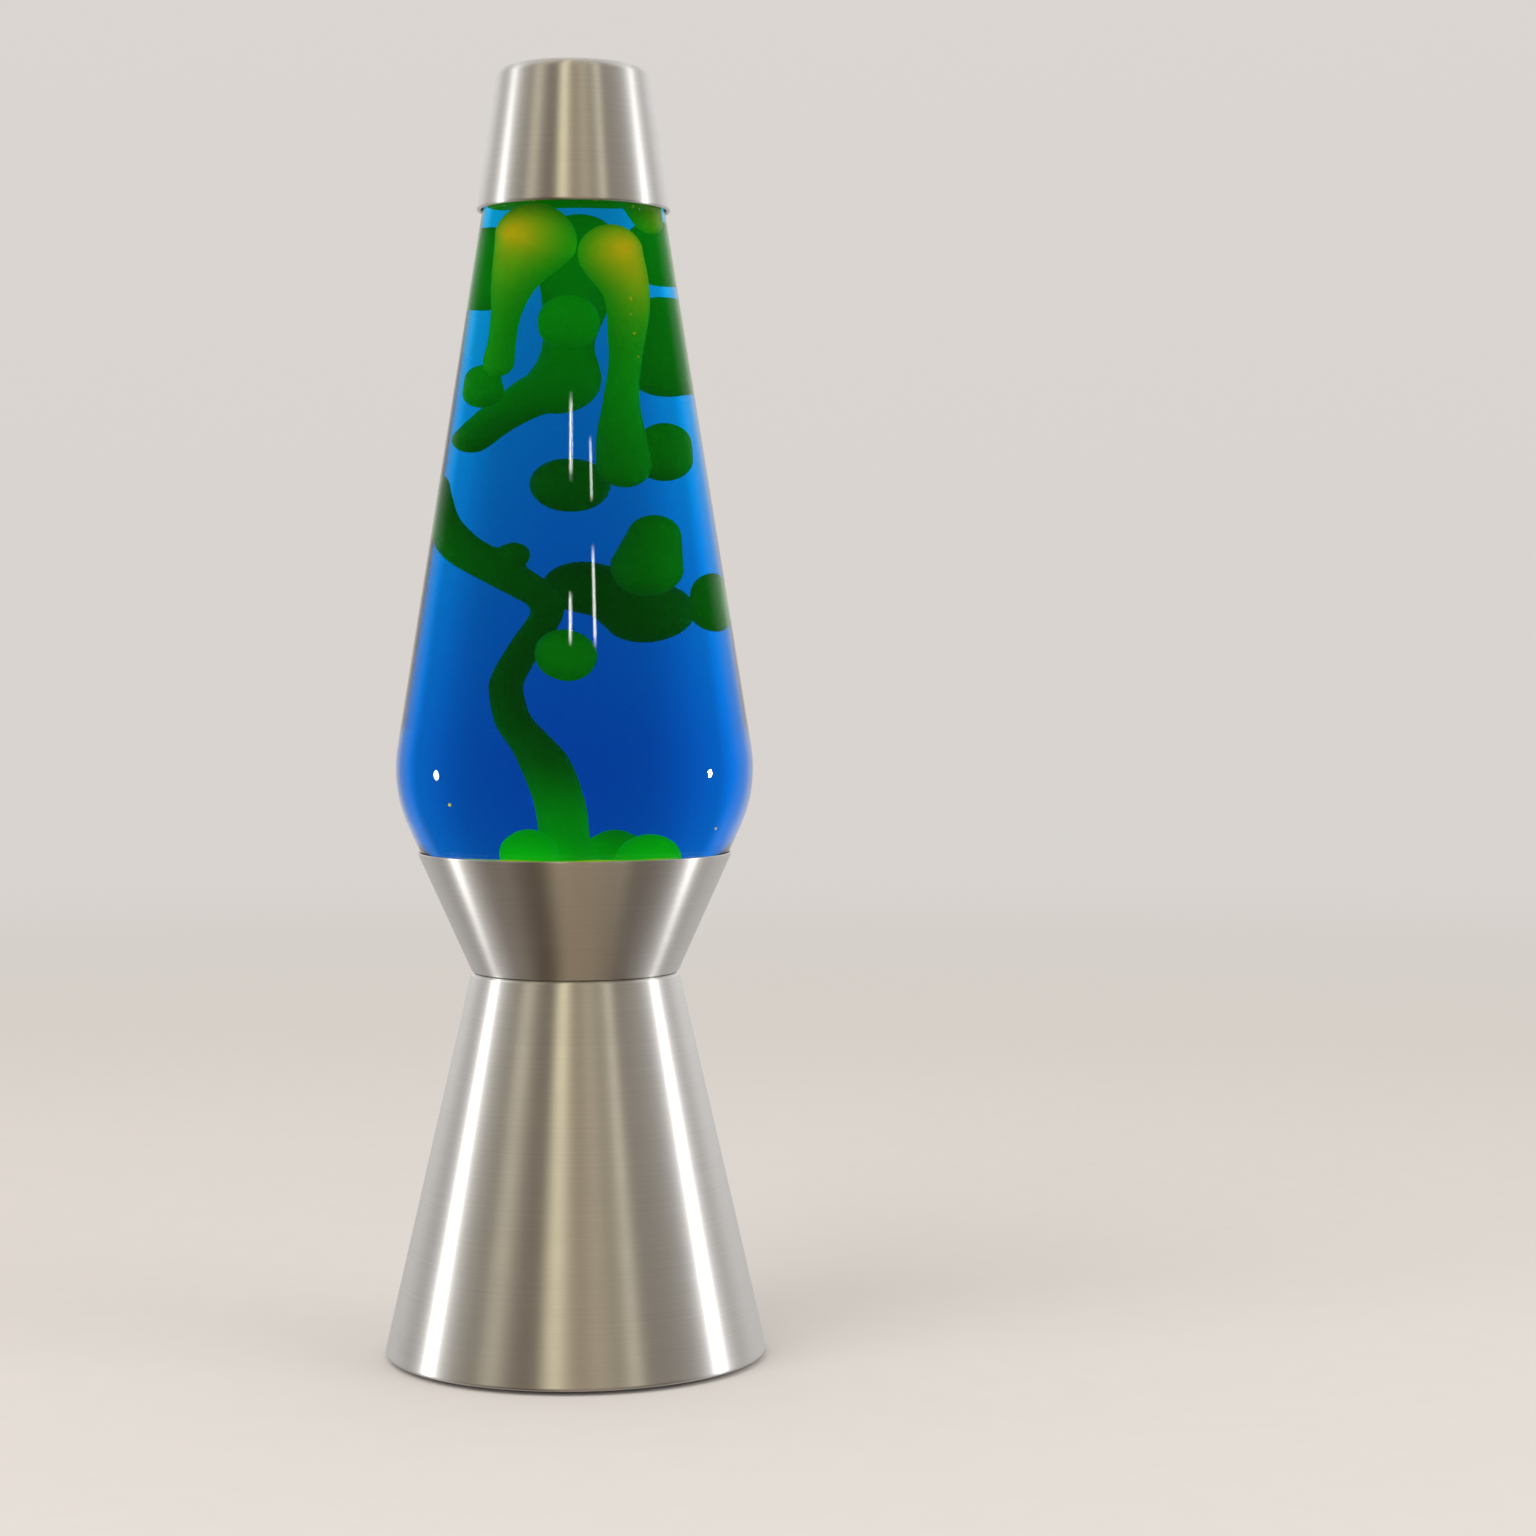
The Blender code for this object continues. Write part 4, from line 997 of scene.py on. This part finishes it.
def make_pool():
    """The pool with its mounds and the column that rises from it."""
    low, high, well_r = foot("wax_pool"), 0.2715, 0.047
    inset, step, edge = GLASS_WALL + GAP, low + 0.005, high - 0.002
    corners = [
        (0, low, 0), (well_r, low, 0.001), (well_r, step, 0.001), (cone_radius(step, inset), step, 0.001),
        (cone_radius(edge, inset), edge, 0.002), (cone_radius(high, inset) - 0.006, high, 0.004),
        (0, high, 0),
    ]
    parts = [turned(rounded(corners), BROAD), wax_tube(COLUMN), *[ball(*mound) for mound in MOUNDS]]
    bm = soft_skin(parts, 0.0015, 6)
    for vert in bm.verts:
        vert.co.z = max(vert.co.z, low)
    piece("wax_bed", bm, wax, "globe", "wax_pool", 180)


def make_wax():
    make_pool()
    for name, knots in WAX.items():
        bm = soft_skin([wax_tube(knots)], 0.0012, 5)
        piece(name.replace("wax_", "soft_"), bm, wax, "globe", name, 180)


# Small drops that have come off the wax: azimuth from the front in degrees, level and radius in mm
SPECKS = [
    (37, 559, 0.8), (36, 551, 0.5), (37, 541, 0.7), (38, 529, 0.5), (-24, 610, 0.6),
    (18, 610, 0.7), (46, 608, 0.6), (-42, 299, 0.9), (-47, 311, 0.5), (61, 286, 0.7),
]


def make_specks():
    bm = bmesh.new()
    for azimuth, z, r in SPECKS:
        angle, across = radians(azimuth), glass_face(z / 1000) - (r + 0.5) / 1000
        place = Matrix.Translation((across * sin(angle), -across * cos(angle), z / 1000))
        bmesh.ops.create_icosphere(bm, subdivisions=2, radius=r / 1000, matrix=place)
    piece("wax_specks", bm, wax, "globe", None, 180)


# ---- cap ----


def make_cap():
    edge_z = CAP_TOP_Z - CAP_DOME
    corners = [
        (0.0494, CAP_RIM_Z + 0.0028, 0), (0.0488, CAP_RIM_Z, 0.0012), (CAP_RIM_R, CAP_RIM_Z, 0.0013),
        (CAP_RIM_R - CAP_SLOPE * (edge_z - CAP_RIM_Z), edge_z, 0.006), (0, CAP_TOP_Z, 0),
    ]
    bm = turned(sheet_loop(corners, CUP_SHEET), LARGE)
    piece("cap_shell", bm, aluminium, "cap", "top_cap")


# ---- stage, light and camera ----

PALE = (0.690, 0.655, 0.622)
# What the metal mirrors at each azimuth from the front, in degrees: above the table, and below its edge
ROOM = [
    (-180, (0.92, 0.92, 0.93)), (-140, (0.92, 0.91, 0.90)), (-122, (0.62, 0.61, 0.60)),
    (-88, (0.46, 0.44, 0.40)), (-72, (0.42, 0.39, 0.32)), (-61, (0.32, 0.29, 0.23)),
    (-54, (0.98, 0.90, 0.70)), (-48, (0.98, 0.90, 0.70)), (-41, (0.38, 0.33, 0.27)),
    (-34, (0.25, 0.21, 0.17)), (-20, (0.25, 0.21, 0.17)), (-14, (1.50, 1.38, 0.98)), (-9, (1.50, 1.38, 0.98)),
    (-1, (0.42, 0.37, 0.27)), (9, (0.40, 0.35, 0.26)), (15, (0.66, 0.58, 0.43)), (22, (0.60, 0.53, 0.40)),
    (28, (0.32, 0.29, 0.22)), (35, (0.42, 0.38, 0.30)), (38, (1.25, 1.17, 0.92)), (41, (1.25, 1.17, 0.92)),
    (46, (0.36, 0.32, 0.27)), (70, (0.40, 0.37, 0.32)), (90, (0.46, 0.44, 0.42)), (122, (0.62, 0.61, 0.60)),
    (140, (0.92, 0.91, 0.90)), (180, (0.92, 0.92, 0.93)),
]
LOW_ROOM = [
    (-180, (0.52, 0.50, 0.48)), (-132, (0.48, 0.46, 0.44)), (-110, (0.24, 0.21, 0.19)),
    (-72, (0.13, 0.09, 0.065)), (-32, (0.08, 0.055, 0.037)), (-20, (0.10, 0.07, 0.048)),
    (-8, (0.32, 0.23, 0.16)), (4, (0.34, 0.25, 0.18)), (38, (0.30, 0.24, 0.17)), (50, (0.12, 0.09, 0.062)),
    (88, (0.12, 0.09, 0.075)), (114, (0.26, 0.24, 0.22)), (134, (0.52, 0.51, 0.50)),
    (180, (0.52, 0.50, 0.48)),
]
# The strength at each azimuth of two side panels, which only the metal mirrors
PANELS = [
    (-116, 0.0), (-105, 0.3), (-98, 1.0), (-95, 1.0), (-88, 0.3), (-76, 0.0),
    (80, 0.0), (93, 0.3), (99, 1.0), (102, 1.0), (109, 0.35), (122, 0.0),
]
# What the glass mirrors: dark in front, and the pale wall behind
GLASS_ROOM = [
    (-180, PALE), (-158, PALE), (-146, (0.30, 0.30, 0.31)), (-126, (0.02, 0.02, 0.02)),
    (126, (0.02, 0.02, 0.02)), (146, (0.30, 0.30, 0.31)), (158, PALE), (180, PALE),
]
# Two bright bars the glass mirrors: each one's azimuth in degrees, and the sines of the heights it reaches
BARS = [(0.3, [(0.314, 0.331), (0.394, 0.423)]), (18.7, [(0.311, 0.350), (0.379, 0.402)])]
BAR_COLOUR = (14.0, 14.0, 13.5)
# How far the room that shows through the glass turns from pale to bright at each azimuth
SIDES = [
    (-168, 0.0), (-147, 0.4), (-138, 1.0), (-112, 1.0), (-92, 0.0),
    (92, 0.0), (112, 1.0), (138, 1.0), (147, 0.4), (168, 0.0),
]
BRIGHT = (1.5, 1.5, 1.5)


def horizon(tree, turn_part, stops, smooth=False):
    """A ramp right round the horizon, from stops at azimuths in degrees."""
    return tree.ramp(turn_part, [(0.5 + azimuth / 360, value) for azimuth, value in stops], smooth)


def bar_mask(tree, turn_part, height, middle, spans):
    """1 inside a narrow upright bar of the mirrored room, which is cut into the given spans of height."""
    across = [(middle + aside, value) for aside, value in ((-0.9, 0.0), (-0.3, 1.0), (0.3, 1.0), (0.9, 0.0))]
    along = []
    for low, high in spans:
        along += [(low - 0.004, 0.0), (low, 1.0), (high, 1.0), (high + 0.004, 0.0)]
    return tree.math("MULTIPLY", horizon(tree, turn_part, across), tree.ramp(height, along, smooth=False))


def make_world():
    """A pale room. What shiny metal mirrors is a studio with two bright panels and a dimmer front."""
    world = bpy.data.worlds.new("studio")
    bpy.context.scene.world = world
    world.cycles.sampling_method = "NONE"
    tree = Tree(world)
    axes = tree.add("SeparateXYZ", {0: tree.add("TexCoord").outputs["Generated"]}).outputs
    path = tree.add("LightPath").outputs
    azimuth = tree.math("ARCTAN2", axes[0], tree.math("MULTIPLY", axes[1], -1.0))
    turn_part = tree.math("MULTIPLY_ADD", azimuth, 1 / tau, 0.5)
    level = tree.math("MULTIPLY_ADD", axes[2], 0.5, 0.5)
    above = tree.ramp(level, [(0.42, 0.0), (0.56, 1.0)])
    room = tree.mix(above, horizon(tree, turn_part, LOW_ROOM), horizon(tree, turn_part, ROOM))
    sharp, glossy = path["Is Singular Ray"], path["Is Glossy Ray"]
    blurred = tree.math("MULTIPLY", glossy, tree.math("SUBTRACT", 1.0, sharp))
    strength = tree.math("MULTIPLY", blurred, tree.math("MULTIPLY_ADD", above, 0.5, 0.7))
    panels = tree.math("MULTIPLY", horizon(tree, turn_part, PANELS, smooth=True), strength)
    lit = tree.add("Mix", {"Factor": 1.0, 6: room, 7: panels}, data_type="RGBA", blend_type="ADD")
    metal = lit.outputs[2]
    bars = tree.math("MAXIMUM", *[bar_mask(tree, turn_part, axes[2], *bar) for bar in BARS])
    glassy = tree.mix(bars, horizon(tree, turn_part, GLASS_ROOM), BAR_COLOUR)
    shiny = tree.mix(sharp, metal, glassy)
    clear = tree.mix(horizon(tree, turn_part, SIDES, smooth=True), PALE, BRIGHT)
    # A ray that glass only lets through counts as glossy too, but not in the glossy depth
    seen = tree.mix(tree.math("GREATER_THAN", path["Glossy Depth"], 0.5), clear, shiny)
    sky = tree.ramp(level, [(0.45, PALE), (0.75, shade(PALE, 1.04))])
    flat = tree.math("MAXIMUM", path["Is Camera Ray"], path["Is Diffuse Ray"])
    shader = tree.add("Background", {"Color": tree.mix(flat, seen, sky), "Strength": 1.0})
    tree.add("OutputWorld", {"Surface": shader.outputs[0]})


def make_floor():
    """A pale round floor that fades into the room; shiny metal mirrors the studio past it."""
    radius = 5.0
    bm = bmesh.new()
    bmesh.ops.create_circle(bm, cap_ends=True, segments=96, radius=radius)
    floor = loose_object(bm, "floor")
    tree = material_tree("floor")
    place = object_place(tree)
    distance = tree.add("VectorMath", {0: place}, operation="LENGTH").outputs["Value"]
    fade = tree.ramp(tree.math("DIVIDE", distance, radius), [(0.16, 0.0), (0.70, 1.0)])
    mirrored = tree.add("LightPath").outputs["Is Glossy Ray"]
    grain = tree.noise(place, 40.0, 3.0)
    tint = tree.mix(grain, (0.80, 0.775, 0.75), (0.83, 0.80, 0.775))
    body = tree.add("BsdfPrincipled", {"Base Color": tint, "Roughness": 0.9, "Specular IOR Level": 0.0})
    clear = tree.add("BsdfTransparent")
    unseen = tree.math("MAXIMUM", fade, mirrored)
    mixed = tree.add("MixShader", {0: unseen, 1: body.outputs[0], 2: clear.outputs[0]})
    tree.add("OutputMaterial", {"Surface": mixed.outputs[0]})
    floor.data.materials.append(tree.owner)
    link(floor)


def area_light(name, place, target, size, power, colour, **seen):
    data = bpy.data.lights.new(name, "AREA")
    data.shape, data.size, data.energy, data.color = "DISK", size, power, colour
    light = bpy.data.objects.new(name, data)
    light.location = place
    light.rotation_euler = (Vector(target) - Vector(place)).to_track_quat("-Z", "Y").to_euler()
    link(light)
    light.visible_camera = False
    for kind, value in seen.items():
        setattr(light, f"visible_{kind}", value)


def make_lights():
    """A large soft key and a fill, and two small lamps at the sides that only show as dots in the glass."""
    aim, unseen = (0, 0, 0.3), {"glossy": False, "transmission": False}
    area_light("key", (-1.3, -1.5, 2.4), aim, 2.2, 26, (1.0, 0.98, 0.95), **unseen)
    area_light("fill", (1.8, -0.8, 1.6), aim, 1.6, 8, (0.97, 0.98, 1.0), **unseen)
    for name, place in (("dot_1", (-1.498, 0.08, 0.232)), ("dot_2", (1.489, 0.18, 0.252))):
        area_light(name, place, (0, 0, 0.31), 0.12, 3.0, (1, 1, 1), diffuse=False, transmission=False)


def make_camera():
    data = bpy.data.cameras.new("camera")
    data.lens, data.sensor_width = 76.2, 36.0
    camera = bpy.data.objects.new("camera", data)
    camera.location = (0.103, -1.734, 0.3855)
    downward = 2.34
    camera.rotation_euler = (radians(90 - downward), 0, 0)
    link(camera)
    bpy.context.scene.camera = camera


GLASS_FACE = rounded(offset(globe_corners(), GLASS_WALL))

make_camera()
make_world()
make_floor()
make_lights()
make_skirt()
make_cup()
make_plate()
make_feet()
make_grommet()
make_waist_fasteners()
make_bracket()
make_socket()
make_socket_shell()
make_bulb()
make_globe()
make_closure()
make_coil()
make_wax()
make_specks()
make_cap()
bpy.context.scene.view_settings.view_transform = "Standard"
